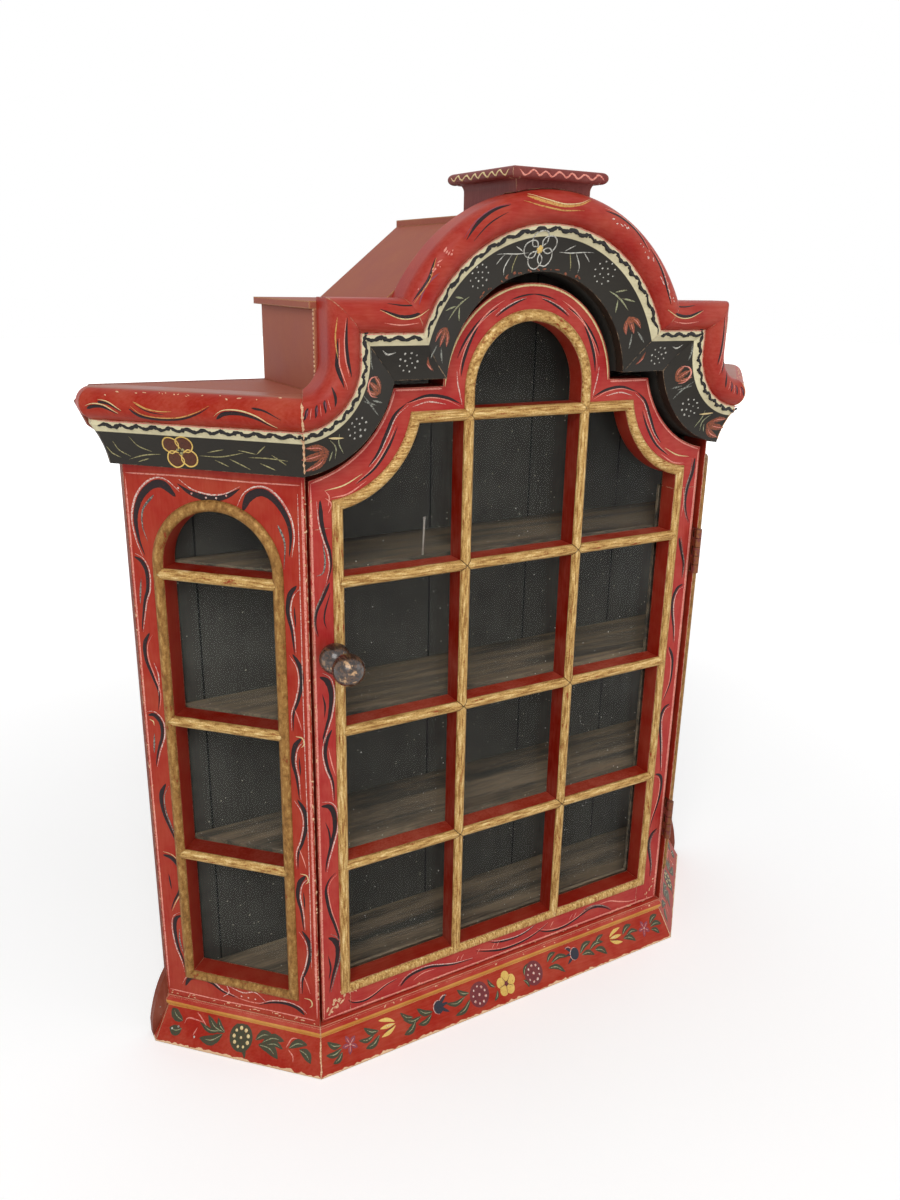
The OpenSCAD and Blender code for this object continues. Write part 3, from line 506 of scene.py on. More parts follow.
def knob_gloss():
    """Black-brown gloss with peach and gold where fingers have worn it."""
    material, tree, shader = blank("knob paint")
    where = place(tree)
    ball = ramp(tree, axes(tree)[1], (FRONT - 4) * MM, (FRONT - 14) * MM)
    patches = noise(tree, where, 210, 4, 0.6)
    streaks = noise(tree, vector_calc(tree, "MULTIPLY", where, Vector((1, 0.2, 1))), 800, 2)
    ground = blend(tree, ramp(tree, streaks, 0.42, 0.66), KNOB_BLACK, rgb(92, 66, 48))
    worn = calc(tree, "MULTIPLY", ramp(tree, patches, 0.6, 0.66), ball)
    gilt = blend(tree, streaks, rgb(226, 180, 132), rgb(150, 116, 78))
    tree.links.new(blend(tree, worn, ground, gilt), shader.inputs["Base Color"])
    tree.links.new(ramp(tree, patches, 0.4, 0.7, 0.2, 0.45), shader.inputs["Roughness"])
    shader.inputs["Coat Weight"].default_value = 0.4
    bump(tree, shader, patches, 0.4, 0.3)
    return material


def tarnished(name, bright, paint, cover):
    """Old metal, partly under the paint of what it is fixed to."""
    material, tree, shader = blank(name)
    where = place(tree)
    patches = noise(tree, where, 300, 4, 0.62)
    tarnish = blend(tree, noise(tree, where, 1100, 3), bright, rgb(84, 52, 36))
    covered = ramp(tree, patches, cover, cover + 0.06)
    tree.links.new(blend(tree, covered, tarnish, paint), shader.inputs["Base Color"])
    tree.links.new(ramp(tree, covered, 0, 1, 0.85, 0.1), shader.inputs["Metallic"])
    tree.links.new(ramp(tree, patches, 0.3, 0.7, 0.3, 0.55), shader.inputs["Roughness"])
    bump(tree, shader, patches, 0.3, 0.2)
    return material


def brush_paint(name, paint, ground, dry):
    """Paint from a brush, with the ground showing through where the stroke ran dry."""
    material, tree, shader = blank("paint " + name)
    where = place(tree)
    film = use(tree, PAINT_FILM, Paint=paint, Contrast=0.25, Gloss=0.42)
    thin = ramp(tree, noise(tree, where, 1500, 3, 0.65), 0.66 - 0.3 * dry, 0.74 - 0.2 * dry)
    tree.links.new(blend(tree, thin, film["Colour"], ground), shader.inputs["Base Color"])
    tree.links.new(film["Roughness"], shader.inputs["Roughness"])
    shader.inputs["Specular IOR Level"].default_value = PAINT_SHINE
    bump(tree, shader, film["Height"], 0.3, 0.15)
    return material


ACROSS = (0.12, 1, 1)  # brush strokes and grain along x
UPRIGHT = (1, 1, 0.12)  # and up

SIDE_NORMALS = {hand: Vector((-hand * DIAGONAL, DIAGONAL, 0)) for hand in (-1, 1)}  # into the case
SIDE_FACE = (FRONT - HALF) * DIAGONAL  # where a canted face lies along that normal
FRIEZE = 311.5  # height at which the brighter red under the cornice starts
BEAD_DEEP = 0.6  # depths into a side at which its front paint and its red edges end
PANEL_DEEP = 12.2


def behind_side(hand, depth):
    return beyond(SIDE_NORMALS[hand], SIDE_FACE + depth)


def side_finish(hand):
    return painted(f"side panel paint {hand}", CASE_RED, [
        (beyond((0, 0, 1), FRIEZE), FRIEZE_RED),
        (behind_side(hand, BEAD_DEEP), FLANK_RED),
        (behind_side(hand, PANEL_DEEP), STAIN),
    ], wear=0.45, contrast=0.16)


def cornice_finish(run):
    height = across_moulding(run)
    red = CASE_RED if run == "cant" else TORUS_RED
    coats = [(over(height, CREAM_FOOT), BAND_CREAM), (over(height, CREAM_HEAD), red)]
    if run == "cant":
        coats.append((over(height, CORNICE_H - 0.35), ROOF_RED))
    return painted(f"cornice paint {run}", COVE_BLACK, coats, stretch=ACROSS, contrast=0.24, wear=0.42,
                   edge=0.6, relief=0.3)


def crossing_seams(tree):
    """Hairlines of an X where the noses of the door's bars meet."""
    x, y, z = axes(tree)
    aside = calc(tree, "ABSOLUTE", calc(tree, "SUBTRACT", calc(tree, "ABSOLUTE", x), BAR_X * MM))
    level = None
    for height in BAR_LEVELS:
        away = calc(tree, "ABSOLUTE", calc(tree, "SUBTRACT", z, height * MM))
        level = away if level is None else calc(tree, "MINIMUM", level, away)
    off = calc(tree, "ABSOLUTE", calc(tree, "SUBTRACT", aside, level))
    near = calc(tree, "LESS_THAN", calc(tree, "MAXIMUM", aside, level), (BEAD_W / 2 + 0.1) * MM)
    return calc(tree, "MULTIPLY", near, ramp(tree, off, 0.3 * MM, 0.1 * MM))


def plinth_finish():
    """Red, with a gold line over the fascia and bare wood along the foot."""
    gold_foot, gold_head, red_foot = 17.4, 21.2, 20.4
    gold_line = both(wavy_beyond((0, 0, 1), gold_foot, 0.3, 60),
                     wavy_beyond((0, 0, -1), -gold_head, 0.35, 60))
    return painted("plinth paint", CASE_RED, [
        (beyond((0, 0, 1), red_foot), MOULDING_RED),
        (gold_line, PLINTH_GOLD),
        (wavy_beyond((0, 0, -1), -0.9, 1.6, 240), WORN_WOOD),
    ], stretch=ACROSS, contrast=0.24, wear=0.7, edge=0.8)


BACK_BOARD_W = 64.0
BACK_SEAM_AT = 20.0  # how far left of the middle the first joint lies
BACK_SEAM_HALF = 0.5


def board_seams(tree):
    """Dark joints between the upright boards of the back."""
    across = calc(tree, "ADD", axes(tree)[0], BACK_SEAM_AT * MM)
    return calc(tree, "LESS_THAN", calc(tree, "PINGPONG", across, BACK_BOARD_W / 2 * MM),
                BACK_SEAM_HALF * MM)


def back_finish():
    inside = both(facing((0, -1, 0)), beyond((0, 0, 1), PLINTH_TOP))
    visible_inside = both(inside, lambda tree: calc(
        tree, "LESS_THAN", calc(tree, "ABSOLUTE", axes(tree)[0]), (REAR.x - 12) * MM))
    return stained("back board stain", BARE_WOOD_DARK, BARE_WOOD, (1, 1, 0.06), [
        (facing((0, -1, 0), -0.7), EAR_RED),
        (visible_inside, STAIN),
        (both(visible_inside, board_seams), SEAM_BLACK),
    ], dust=0.1, relief=0.45)


def roof_finish():
    return painted("roof paint", ROOF_RED, stretch=(1, 1, 1), contrast=0.14, gloss=0.6, wear=0.72,
                   wear_to=EDGE_TAN, edge=1.1, relief=0.3)


def pedestal_finish():
    top = highest("pedestal").z
    return painted("pedestal paint", PEDESTAL_RED, [(beyond((0, 0, 1), top - 0.4), rgb(140, 62, 52))],
                   stretch=(1, 1, 0.1), contrast=0.4, gloss=0.45, wear=0.5, edge=0.8, relief=0.5)


DOOR_PAINT_DEEP = 0.5
DOOR_REBATE = 12.5


def door_finish(name, stretch):
    """Red in front and on the edges, and dark on the inner face."""
    return painted(name, DOOR_RED, [
        (beyond((0, 1, 0), FACE + DOOR_PAINT_DEEP), FLANK_RED),
        (beyond((0, 1, 0), FACE + DOOR_REBATE), DOOR_INSIDE),
    ], stretch=stretch, contrast=0.2, wear=0.5)


DARK_INSIDE = stained("dark stain", STAIN, STAIN_LIGHT, (0.08, 1, 1), dust=0.16)
ROOF = roof_finish()
BAR_FLANK = beyond((0, 1, 0), FACE + 0.3)
BRONZE_TONES = (BRONZE_DARK, BRONZE, BRONZE_LIGHT)
PLINTH_PAINT = plinth_finish()
DOOR_UPRIGHT = door_finish("door stile paint", UPRIGHT)
DOOR_ACROSS = door_finish("door rail paint", ACROSS)
GLASS = clear_glass()
# The head board's front shows only in the gap round the door's head. It is painted black there as painted
# shade for that gap, and stained behind.
HEAD_BOARD_SHADE_AND_STAIN = painted("head board painted shade and stain", COVE_BLACK, [(beyond((0, 1, 0), FRONT + 0.5), STAIN)], wear=0.2)
DECK_PAINT = painted("deck paint", ROOF_RED, [(beyond((0, 0, -1), 1 - DECK), STAIN)], contrast=0.16,
                     gloss=0.6, wear=0.3)
SCREW_METAL = tarnished("screw metal", rgb(150, 110, 80), HINGE_PAINT, 0.55)

FINISHES = {
    "back_board": back_finish(),
    "floor_board": DARK_INSIDE,
    "plinth_": PLINTH_PAINT,
    "shelf_pin": tarnished("pin steel", rgb(206, 204, 196), rgb(120, 112, 100), 0.8),
    "shelf_": DARK_INSIDE,
    "head_board": HEAD_BOARD_SHADE_AND_STAIN,
    "deck_": DECK_PAINT,
    "cornice_side": cornice_finish("cant"),
    "cornice_return": cornice_finish("cant"),
    "cornice_quarter": cornice_finish("quarter"),
    "cornice_step": cornice_finish("step"),
    "cornice_arch": cornice_finish("arch"),
    "bonnet_": ROOF,
    "pedestal": pedestal_finish(),
    "door_stile": DOOR_UPRIGHT,
    "door_rail": DOOR_ACROSS,
    "door_head": DOOR_ACROSS,
    "door_beads": gold_paint("door bead paint", UPRIGHT),
    "door_shoulder_beads": gold_paint("shoulder bead paint", (0.1, 1, 1.6)),
    "door_arch_bead": gold_paint("arch bead paint", (0.3, 1, 0.6)),
    "door_bar": gold_paint("upright bar paint", UPRIGHT, flank=BAR_FLANK, seam=crossing_seams),
    "door_cross_bars": gold_paint("cross bar paint", ACROSS, flank=BAR_FLANK,
                                  flank_colour=rgb(182, 70, 50),
                                  seam=crossing_seams),
    "door_spring_bar": gold_paint("spring bar paint", ACROSS, flank=BAR_FLANK, seam=crossing_seams),
    "door_glass_strips": DARK_INSIDE,
    "door_glass": GLASS,
    "side_glass": GLASS,
    "side_beads": gold_paint("side bead paint", (0.5, 0.5, 0.25), BRONZE_TONES),
    "door_knob": knob_gloss(),
    "hinge_leaves": tarnished("hinge metal", HINGE_COPPER, HINGE_PAINT, 0.5),
    "hinge_pins": tarnished("hinge pin metal", HINGE_COPPER, HINGE_PAINT, 0.62),
    "hinge_screws": SCREW_METAL,
}
for hand, side in ((-1, "left"), (1, "right")):
    FINISHES[f"side_panel_{side}"] = side_finish(hand)
    FINISHES[f"side_bars_{side}"] = gold_paint(f"side bar paint {side}", (0.15, 0.15, 1),
                                               flank=behind_side(hand, 0.3))


def finish_of(node):
    """The finish whose name is the longest start of the node's name."""
    return FINISHES[max((start for start in FINISHES if node.startswith(start)), key=len)]


for name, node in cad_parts.items():
    if not node.material_slots:
        node.data.materials.append(None)
    for slot in node.material_slots:
        slot.material = finish_of(name)


# Painted ornament: thin domed strokes on the surfaces of the wood

PAINTS = {
    "black": brush_paint("black", rgb(34, 22, 24), rgb(110, 36, 30), 0.15),
    "white": brush_paint("white", rgb(226, 208, 196), rgb(196, 104, 92), 0.75),
    "pink": brush_paint("pink", rgb(228, 150, 134), rgb(200, 84, 70), 0.5),
    "cream": brush_paint("cream", rgb(226, 204, 150), rgb(190, 130, 84), 0.35),
    "gold": brush_paint("gold", rgb(206, 158, 88), rgb(170, 90, 52), 0.5),
    "brown": brush_paint("brown", rgb(88, 48, 32), rgb(44, 34, 30), 0.3),
    "rust": brush_paint("rust", rgb(150, 84, 58), rgb(74, 50, 44), 0.6),
    "olive": brush_paint("olive", rgb(168, 160, 112), rgb(90, 84, 62), 0.6),
    "grey": brush_paint("grey", rgb(150, 152, 142), rgb(70, 68, 64), 0.8),
    "chalk": brush_paint("chalk", rgb(206, 204, 194), rgb(110, 106, 100), 0.6),
    "leaf green": brush_paint("leaf green", rgb(66, 68, 50), rgb(120, 52, 40), 0.3),
    "pale green": brush_paint("pale green", rgb(160, 164, 128), rgb(96, 78, 60), 0.6),
    "purple": brush_paint("purple", rgb(138, 72, 88), rgb(160, 62, 60), 0.5),
    "maroon": brush_paint("maroon", rgb(112, 50, 54), rgb(140, 52, 50), 0.3),
    "yellow": brush_paint("yellow", rgb(222, 186, 100), rgb(190, 120, 70), 0.25),
    "blue black": brush_paint("blue black", rgb(48, 50, 60), rgb(90, 50, 52), 0.2),
    "bare wood": brush_paint("bare wood", rgb(230, 190, 150), rgb(190, 120, 88), 0.6),
    "cove shadow": brush_paint("cove shadow", rgb(36, 34, 34), rgb(60, 56, 52), 0.2),
}


def comma(t):
    """A round head and a long tail."""
    return min(1.0, math.sqrt(t / 0.14)) * (1 - t) ** 0.6


def even(t):
    return min(1.0, math.sqrt(t / 0.05), math.sqrt((1 - t) / 0.05))


def swell(t):
    """Thin at both ends."""
    return math.sin(math.pi * t) ** 0.75


def along_curve(points, step=0.9):
    """Points close together along a smooth curve through the given points."""
    points = [Vector(point) for point in points]
    ends = [2 * points[0] - points[1]] + points + [2 * points[-1] - points[-2]]
    path = []
    for a, b, c, d in zip(ends, ends[1:], ends[2:], ends[3:]):
        count = max(2, round((c - b).length / step))
        for i in range(count):
            t = i / count
            path.append(0.5 * ((2 * b) + (c - a) * t + (2 * a - 5 * b + 4 * c - d) * t ** 2
                               + (3 * b - a - 3 * c + d) * t ** 3))
    path.append(points[-1])
    return path


LOADED = 1.3  # how far a loaded brush spreads
LEAF_SPREAD = 2.0  # and how far it does in a leaf of the plinth
# Across a stroke: share of its half width, and how proud it stands in mm
STROKE_SECTION = ((-1.0, -0.1), (-0.62, 0.07), (0.0, 0.11), (0.62, 0.07), (1.0, -0.1))
LAYER = 0.05  # how far one coat of paint stands over another
LEAST_HALF = 0.07  # half the thinnest line that a brush leaves


class Brushwork:
    """Strokes of paint on one surface, which turns (across, up, proud) in mm into a point."""

    def __init__(self, surface, seed, sink=1.0):
        self.surface = surface
        self.hand = random.Random(seed)
        self.sink = sink
        self.vertices, self.faces, self.face_paints, self.paints = [], [], [], []

    def add(self, paint, rings, caps):
        """Joins rings of (across, up, proud) into one closed skin, with a face or a point at each end."""
        if paint not in self.paints:
            self.paints.append(paint)
        first = len(self.vertices)
        size = len(rings[0])
        for ring in rings:
            self.vertices += [self.surface(*spot) for spot in ring]
        made = []
        for r in range(len(rings) - 1):
            for i in range(size):
                j = (i + 1) % size
                a, b = first + r * size, first + (r + 1) * size
                made.append((a + i, a + j, b + j, b + i))
        for cap, start in zip(caps, (first, first + (len(rings) - 1) * size)):
            loop = [start + i for i in range(size)]
            if cap is None:
                made.append(tuple(loop))
            else:
                self.vertices.append(self.surface(*cap))
                tip = len(self.vertices) - 1
                made += [(loop[i], loop[(i + 1) % size], tip) for i in range(size)]
        self.faces += made
        self.face_paints += [self.paints.index(paint)] * len(made)

    def stroke(self, paint, points, width, shape=comma, layer=0, shift=0.0, shake=0.12):
        """One stroke along a curve. shift moves its start to its left, and its end less."""
        path = along_curve(points)
        rings = []
        for i, spot in enumerate(path):
            way = (path[min(i + 1, len(path) - 1)] - path[max(i - 1, 0)]).normalized()
            left = Vector((-way.y, way.x))
            share = i / (len(path) - 1)
            half = width / 2 * shape(share) * (1 + shake * (self.hand.random() - 0.5))
            half = max(half, LEAST_HALF)
            centre = spot + left * shift * (1 - 0.6 * share)
            rings.append([(*(centre + left * half * side), self.sunk(proud, layer))
                          for side, proud in STROKE_SECTION])
        self.add(paint, rings, (None, None))

    def sunk(self, proud, layer):
        return proud * self.sink if proud < 0 else proud + layer * LAYER

    def lit(self, paint, light, points, width, side=1, shape=comma, layer=0):
        """A stroke with a thin light edge on its left (side 1) or right (-1)."""
        self.stroke(paint, points, width * LOADED, shape, layer)
        self.stroke(light, points, 0.35 + width * 0.2, swell, layer + 1, shift=side * width * 0.75)

    def dot(self, paint, centre, radius, layer=0, squash=1.0):
        """A round dab."""
        sides = max(8, min(28, round(radius * 6)))
        turns = [2 * math.pi * i / sides for i in range(sides)]
        def ring(share, proud):
            return [(centre[0] + radius * share * math.cos(a),
                     centre[1] + radius * share * squash * math.sin(a),
                     self.sunk(proud, layer)) for a in turns]
        shares = [(1.0, -0.1), (0.86, 0.07)]
        if radius > 2:
            shares.append((0.45, 0.1))
        self.add(paint, [ring(*share) for share in shares],
                 (None, (centre[0], centre[1], self.sunk(0.12, layer))))

    def ring_of_dots(self, paint, centre, radius, count, size, layer=0):
        for i in range(count):
            a = 2 * math.pi * i / count + 0.3
            wobble = 1 + 0.12 * (self.hand.random() - 0.5)
            spot = (centre[0] + radius * wobble * math.cos(a), centre[1] + radius * wobble * math.sin(a))
            self.dot(paint, spot, size * (0.8 + 0.4 * self.hand.random()), layer)

    def leaf(self, paint, vein, base, tip, width, bow=0.15, layer=0):
        """A leaf from base to tip, bowed to its left, with a vein."""
        base, tip = Vector(base), Vector(tip)
        way = tip - base
        middle = base + way * 0.5 + Vector((-way.y, way.x)) * bow
        self.stroke(paint, [base, middle, tip], width, swell, layer)
        if vein:
            self.stroke(vein, [base, base.lerp(middle, 0.9), middle.lerp(tip, 0.55)],
                        min(0.7, width * 0.25), swell, layer + 1)

    def petals(self, paint, centre, count, inner, outer, width, start=90, layer=0):
        for i in range(count):
            a = math.radians(start + 360 * i / count)
            way = Vector((math.cos(a), math.sin(a)))
            self.stroke(paint, [Vector(centre) + way * inner, Vector(centre) + way * (inner + outer) / 2,
                                Vector(centre) + way * outer], width, swell, layer, shake=0.05)

    def outlined_flower(self, line, centre, radius, count=5, width=0.6, start=90, fill=None, layer=0):
        """Round petals side by side, each with a line drawn round it."""
        centre = Vector(centre)
        lobe = radius * 0.46
        for i in range(count):
            a = math.radians(start + 360 * i / count)
            heart = centre + Vector((math.cos(a), math.sin(a))) * (radius - lobe)
            if fill:
                self.dot(fill, heart, lobe, layer + 0.2 * i)
            loop = [centre + (heart - centre) * 0.2]
            for step in range(9):
                b = a + math.radians(-125 + 250 * step / 8)
                reach = lobe * (1 + 0.08 * (self.hand.random() - 0.5))
                loop.append(heart + Vector((math.cos(b), math.sin(b))) * reach)
            loop.append(centre + (heart - centre) * 0.3)
            self.stroke(line, loop, width, even, layer + 2)

    def hem(self, paint, points, width, layer=0):
        """A long even line, such as a border."""
        self.stroke(paint, points, width, even, layer, shake=0.35)

    def chips(self, paint, start, end, count, size, spread, layer=0):
        """Small flakes scattered about a line."""
        start, end = Vector(start), Vector(end)
        way = (end - start).normalized()
        side = Vector((-way.y, way.x))
        for _ in range(count):
            spot = start.lerp(end, self.hand.random()) + side * spread * (2 * self.hand.random() - 1)
            length = size * (0.5 + self.hand.random())
            turn = math.radians(360 * self.hand.random())
            tip = spot + (way * 0.8 + Vector((math.cos(turn), math.sin(turn))) * 0.5) * length
            self.stroke(paint, [spot, (spot + tip) / 2, tip], size * (0.4 + 0.5 * self.hand.random()),
                        swell, layer)

    def lay(self, name, body, slot):
        mesh = bpy.data.meshes.new(name)
        mesh.from_pydata(self.vertices, [], self.faces)
        for paint in self.paints:
            mesh.materials.append(PAINTS[paint])
        mesh.polygons.foreach_set("material_index", self.face_paints)
        mesh.polygons.foreach_set("use_smooth", [True] * len(mesh.polygons))
        shell = bmesh.new()
        shell.from_mesh(mesh)
        bmesh.ops.recalc_face_normals(shell, faces=shell.faces)
        shell.to_mesh(mesh)
        shell.free()
        piece = bpy.data.objects.new(name, mesh)
        bpy.context.scene.collection.objects.link(piece)
        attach(piece, body)
        return piece


# Surfaces: each turns (across, up, proud) in mm into a point of the object

def side_face(hand):
    """across runs forward from the rear edge of a canted side; up is the height."""
    def at(across, up, proud):
        back = CANT_W - across
        return Vector((hand * (HALF + (back + proud) * DIAGONAL), FRONT + (back - proud) * DIAGONAL,
                       up)) * MM
    return at


def door_face(across, up, proud):
    return Vector((across, FACE - proud, up)) * MM


def plinth_out(up):
    if up <= FASCIA_H:
        return FLARE + (FASCIA_OUT - FLARE) * up / FASCIA_H
    return MOULDING_IN + math.sqrt(max(MOULDING_R ** 2 - (up - MOULDING_Z) ** 2, 0))


def plinth_front(across, up, proud):
    return Vector((across, FRONT - plinth_out(up) - proud, up)) * MM


def plinth_side(hand):
    face = side_face(hand)
    return lambda across, up, proud: face(across, up, plinth_out(up) + proud)


def cornice_section(round_, proud):
    """(height, out) after a distance round the section from its lower edge."""
    if round_ <= COVE_RUN:
        share = round_ / COVE_RUN
        foot = Vector((0.0, COVE_FOOT))
        way = (COVE_TOP - foot).normalized()
        out = Vector((-way.y, way.x))
        return foot.lerp(COVE_TOP, share) + out * (proud - 4 * COVE_SAG * share * (1 - share))
    past = round_ - COVE_RUN
    if past <= BAND_W:
        return Vector((COVE_TOP.x + past, BAND_OUT + proud))
    turn = math.pi - (past - BAND_W) / TORUS_R
    return TORUS_AT + Vector((math.cos(turn), math.sin(turn))) * (TORUS_R + proud)


def cornice_cant(hand):
    face = side_face(hand)
    def at(across, round_, proud):
        height, out = cornice_section(round_, proud)
        return face(across, CORNICE + height, out)
    return at


def cornice_front(place_of):
    """A run along the front: place_of(across, height) gives (x, z)."""
    def at(across, round_, proud):
        height, out = cornice_section(round_, proud)
        x, z = place_of(across, height)
        return Vector((x, FRONT - out, z)) * MM
    return at


QUARTER_LINE = 40.0  # the radius at which distances along a quarter are measured
ARCH_LINE = 60.0


def quarter_place(hand):
    def place_of(across, height):
        reach = QUARTER_R - height
        turn = min(across / QUARTER_LINE, math.pi / 2)
        rise = max(0.0, across - QUARTER_LINE * math.pi / 2)
        return (hand * (QUARTER_X - reach * math.sin(turn)), QUARTER_Z - reach * math.cos(turn) + rise)
    return place_of


def arch_place(across, height):
    turn = math.pi / 2 - across / ARCH_LINE
    return (ARCH_R + height) * math.cos(turn), ARCH_Z + (ARCH_R + height) * math.sin(turn)


def step_place(hand):
    return lambda across, height: (hand * across, STEP + height)


# Side panels

def side_ornament(hand):
    """Black strokes with light edges round a side window, inside a pale border."""
    work = Brushwork(side_face(hand), 11)
    top, foot = 308.5, 29.0
    work.hem("pink", [(1.2, foot), (1.2, 120), (1.2, 220), (1.2, top)], 1.1)
    work.hem("pink", [(86.9, foot), (86.9, 120), (86.9, 220), (86.9, top + 4)], 1.5)
    work.hem("white", [(84.6, 60), (84.9, 130), (84.5, 200), (84.8, top - 2)], 0.5)
    work.hem("pink", [(1.5, top + 1.6), (30, top + 2), (60, top + 1.6), (86, top + 1.8)], 0.9)
    work.hem("pink", [(1.5, foot - 1.2), (30, foot - 1.6), (60, foot - 1.2), (86, foot - 1.4)], 0.9)
    work.lit("black", "white", [(27, 307), (34, 303), (43, 301.5), (51, 303), (58, 307)], 3.0, 1, swell)
    for spot in ((27.5, 305), (34, 303), (41, 301.6), (46, 301.8), (51, 303.2)):
        work.dot("white", spot, 0.55, 2)
    work.lit("black", "white", [(26, 301), (20, 306), (14, 305), (8, 299), (4.8, 290), (5.5, 280),
                                (8, 272)],
             4.2, -1)
    work.stroke("grey", [(15, 301), (9, 294), (8, 286), (10, 279)], 1.6)
    work.lit("black", "white", [(58.5, 297), (62, 303.5), (68, 306), (74, 303), (79, 296), (81, 288),
                                (80, 278)],
             4.2, 1)
    work.stroke("grey", [(75, 292), (78, 284), (77.2, 272)], 1.5)
    for rise in (0, -75, -150):
        right_column(work, rise)
    left_column(work)
    sill_flourish(work)
    work.chips("bare wood", (2, foot - 3), (86, foot - 3), 26, 1.4, 0.7, 1)
    work.chips("bare wood", (0.8, 60), (0.8, 300), 30, 1.2, 0.4, 1)
    work.chips("bare wood", (CANT_W - 0.7, 40), (CANT_W - 0.7, 310), 46, 1.3, 0.35, 1)
    return work


def right_column(work, rise):
    """One repeat of the strokes up the front edge of a side."""
    def moved(*points):
        return [(across, up + rise) for across, up in points]
    work.lit("black", "white", moved((83, 265), (79.5, 260), (78.3, 252), (80, 243), (81, 232)), 2.6, 1)
    work.stroke("black", moved((81.5, 255), (82, 245)), 1.1, swell)
    work.lit("black", "white", moved((80, 232), (83.4, 226), (84, 218), (82, 209), (79.5, 202),
                                     (79, 193)),
             2.5, -1)
    work.stroke("cream", moved((80, 190.5), (83.5, 190), (84.3, 187), (82.8, 185)), 0.9, swell, 1)
    work.stroke("pink", moved((79.5, 206), (82, 199), (83.4, 194)), 0.8, swell)


def left_column(work):
    """The looser strokes up the rear edge of a side."""
    work.lit("black", "white", [(2.2, 271), (6, 269), (8.2, 264), (8, 256), (6, 250), (4, 240),
                                (3, 234)], 2.4, 1)
    work.stroke("grey", [(5, 261), (4, 254), (3.4, 248)], 1.2, swell)
    work.lit("black", "pink", [(7, 234), (4, 228), (4, 220), (7, 211), (9.4, 203), (8.4, 194)], 2.3, 1)
    work.stroke("white", [(8, 219), (10, 212), (9.2, 202)], 0.8, swell, 1)
    work.lit("black", "white", [(2.4, 190.5), (6, 191), (9.2, 187), (9.2, 180), (6.5, 172),
                                (4.4, 163)], 2.6, 1)
    work.stroke("cream", [(3, 188.5), (5, 187.6), (5.4, 185.4)], 0.8, swell, 1)
    work.stroke("grey", [(5, 181), (4, 170)], 1.2, swell)
    work.lit("black", "grey", [(9, 154), (6, 147), (6.4, 138), (9, 130), (12, 122), (13.4, 115)], 2.6, 1)
    work.lit("black", "cream", [(4, 112), (9, 111), (13, 106), (14, 99), (12, 92), (8.4, 85), (6, 79)],
             2.8, 1)
    work.stroke("black", [(6.4, 101), (7.4, 92)], 1.2, swell)
    work.lit("black", "white", [(12, 77), (8.4, 74), (7.4, 67), (8.4, 57), (11, 48), (12, 41)], 2.5, -1)
    work.stroke("grey", [(10, 68), (9.8, 60), (11.4, 53)], 1.1, swell)


def sill_flourish(work):
    """The bow of strokes under a side window."""
    work.lit("black", "white", [(11, 32), (14, 37.4), (20, 39), (27, 37.4), (33, 33.5), (42, 31)], 2.6, 1)
    work.stroke("white", [(35, 39.5), (36.8, 34), (33, 30)], 0.8, swell, 1)
    work.stroke("white", [(36.4, 38), (45, 35.6), (52, 37.4), (58, 33)], 0.9, swell, 1)
    for across in (44, 48, 52):
        work.dot("white", (across, 33), 0.5, 1)
    work.lit("black", "white", [(80, 29.6), (76, 33), (70, 34.4), (62, 33.4), (54, 30)], 2.4, -1)
    work.stroke("pink", [(40, 31.6), (50, 30.6), (58, 31.6)], 0.7, swell)


# Door

def door_ornament():
    work = Brushwork(door_face, 23)
    door_border(work)
    door_left_stile(work)
    door_right_stile(work)
    door_rail_waves(work)
    door_head_strokes(work)
    work.chips("bare wood", (-112, 28), (-99, 40), 34, 2.4, 2.6, 2)
    work.chips("bare wood", (-101, 44), (-96, 37), 14, 1.6, 1.4, 2)
    work.chips("bare wood", (-DOOR_HALF + 0.6, 26), (-DOOR_HALF + 0.6, 305), 40, 1.2, 0.3, 2)
    work.chips("bare wood", (-105, 25.6), (110, 25.6), 30, 1.4, 0.4, 2)
    work.chips("bare wood", (106, 27), (111, 40), 8, 1.6, 1.6, 2)
    return work


def turned(centre_x, centre_z, radius, start, end, count=8):
    """Points round a circle from one angle to another, in degrees."""
    angles = [math.radians(start + (end - start) * i / count) for i in range(count + 1)]
    return [(centre_x + radius * math.cos(a), centre_z + radius * math.sin(a)) for a in angles]


def door_border(work):
    """The pale line round the door's edge."""
    edge = 1.0
    side = DOOR_HALF - edge
    top = CORNICE - 4.4
    hollow = DOOR_HOLLOW_R + edge
    step = DOOR_STEP - edge
    for hand, width in ((-1, 1.3), (1, 1.8)):
        work.hem("pink", [(hand * side, DOOR_FOOT + 0.8), (hand * side, 120), (hand * side, 210),
                          (hand * side, top)],
                 width)
        shoulder = turned(hand * QUARTER_X, QUARTER_Z, hollow, *((-80, -16) if hand < 0 else (-100,
                                                                                              -164)))
        within = [point for point in shoulder if abs(point[0]) < side - 0.3]
        work.hem("pink", [(hand * side, top)] + within, 1.0)
        inner = abs(shoulder[-1][0])
        work.hem("pink", [(hand * inner, step), (hand * (inner + DOOR_ARCH_R) / 2, step),
                          (hand * (DOOR_ARCH_R + 0.4), step)], 1.1)
    work.hem("cream", turned(0, DOOR_ARCH_Z, DOOR_ARCH_R - edge, 3, 177, 20), 1.2)
    work.hem("pink", [(-side, DOOR_FOOT + edge), (-40, DOOR_FOOT + 0.8), (50, DOOR_FOOT + 1),
                      (side, DOOR_FOOT + edge)],
             1.5)


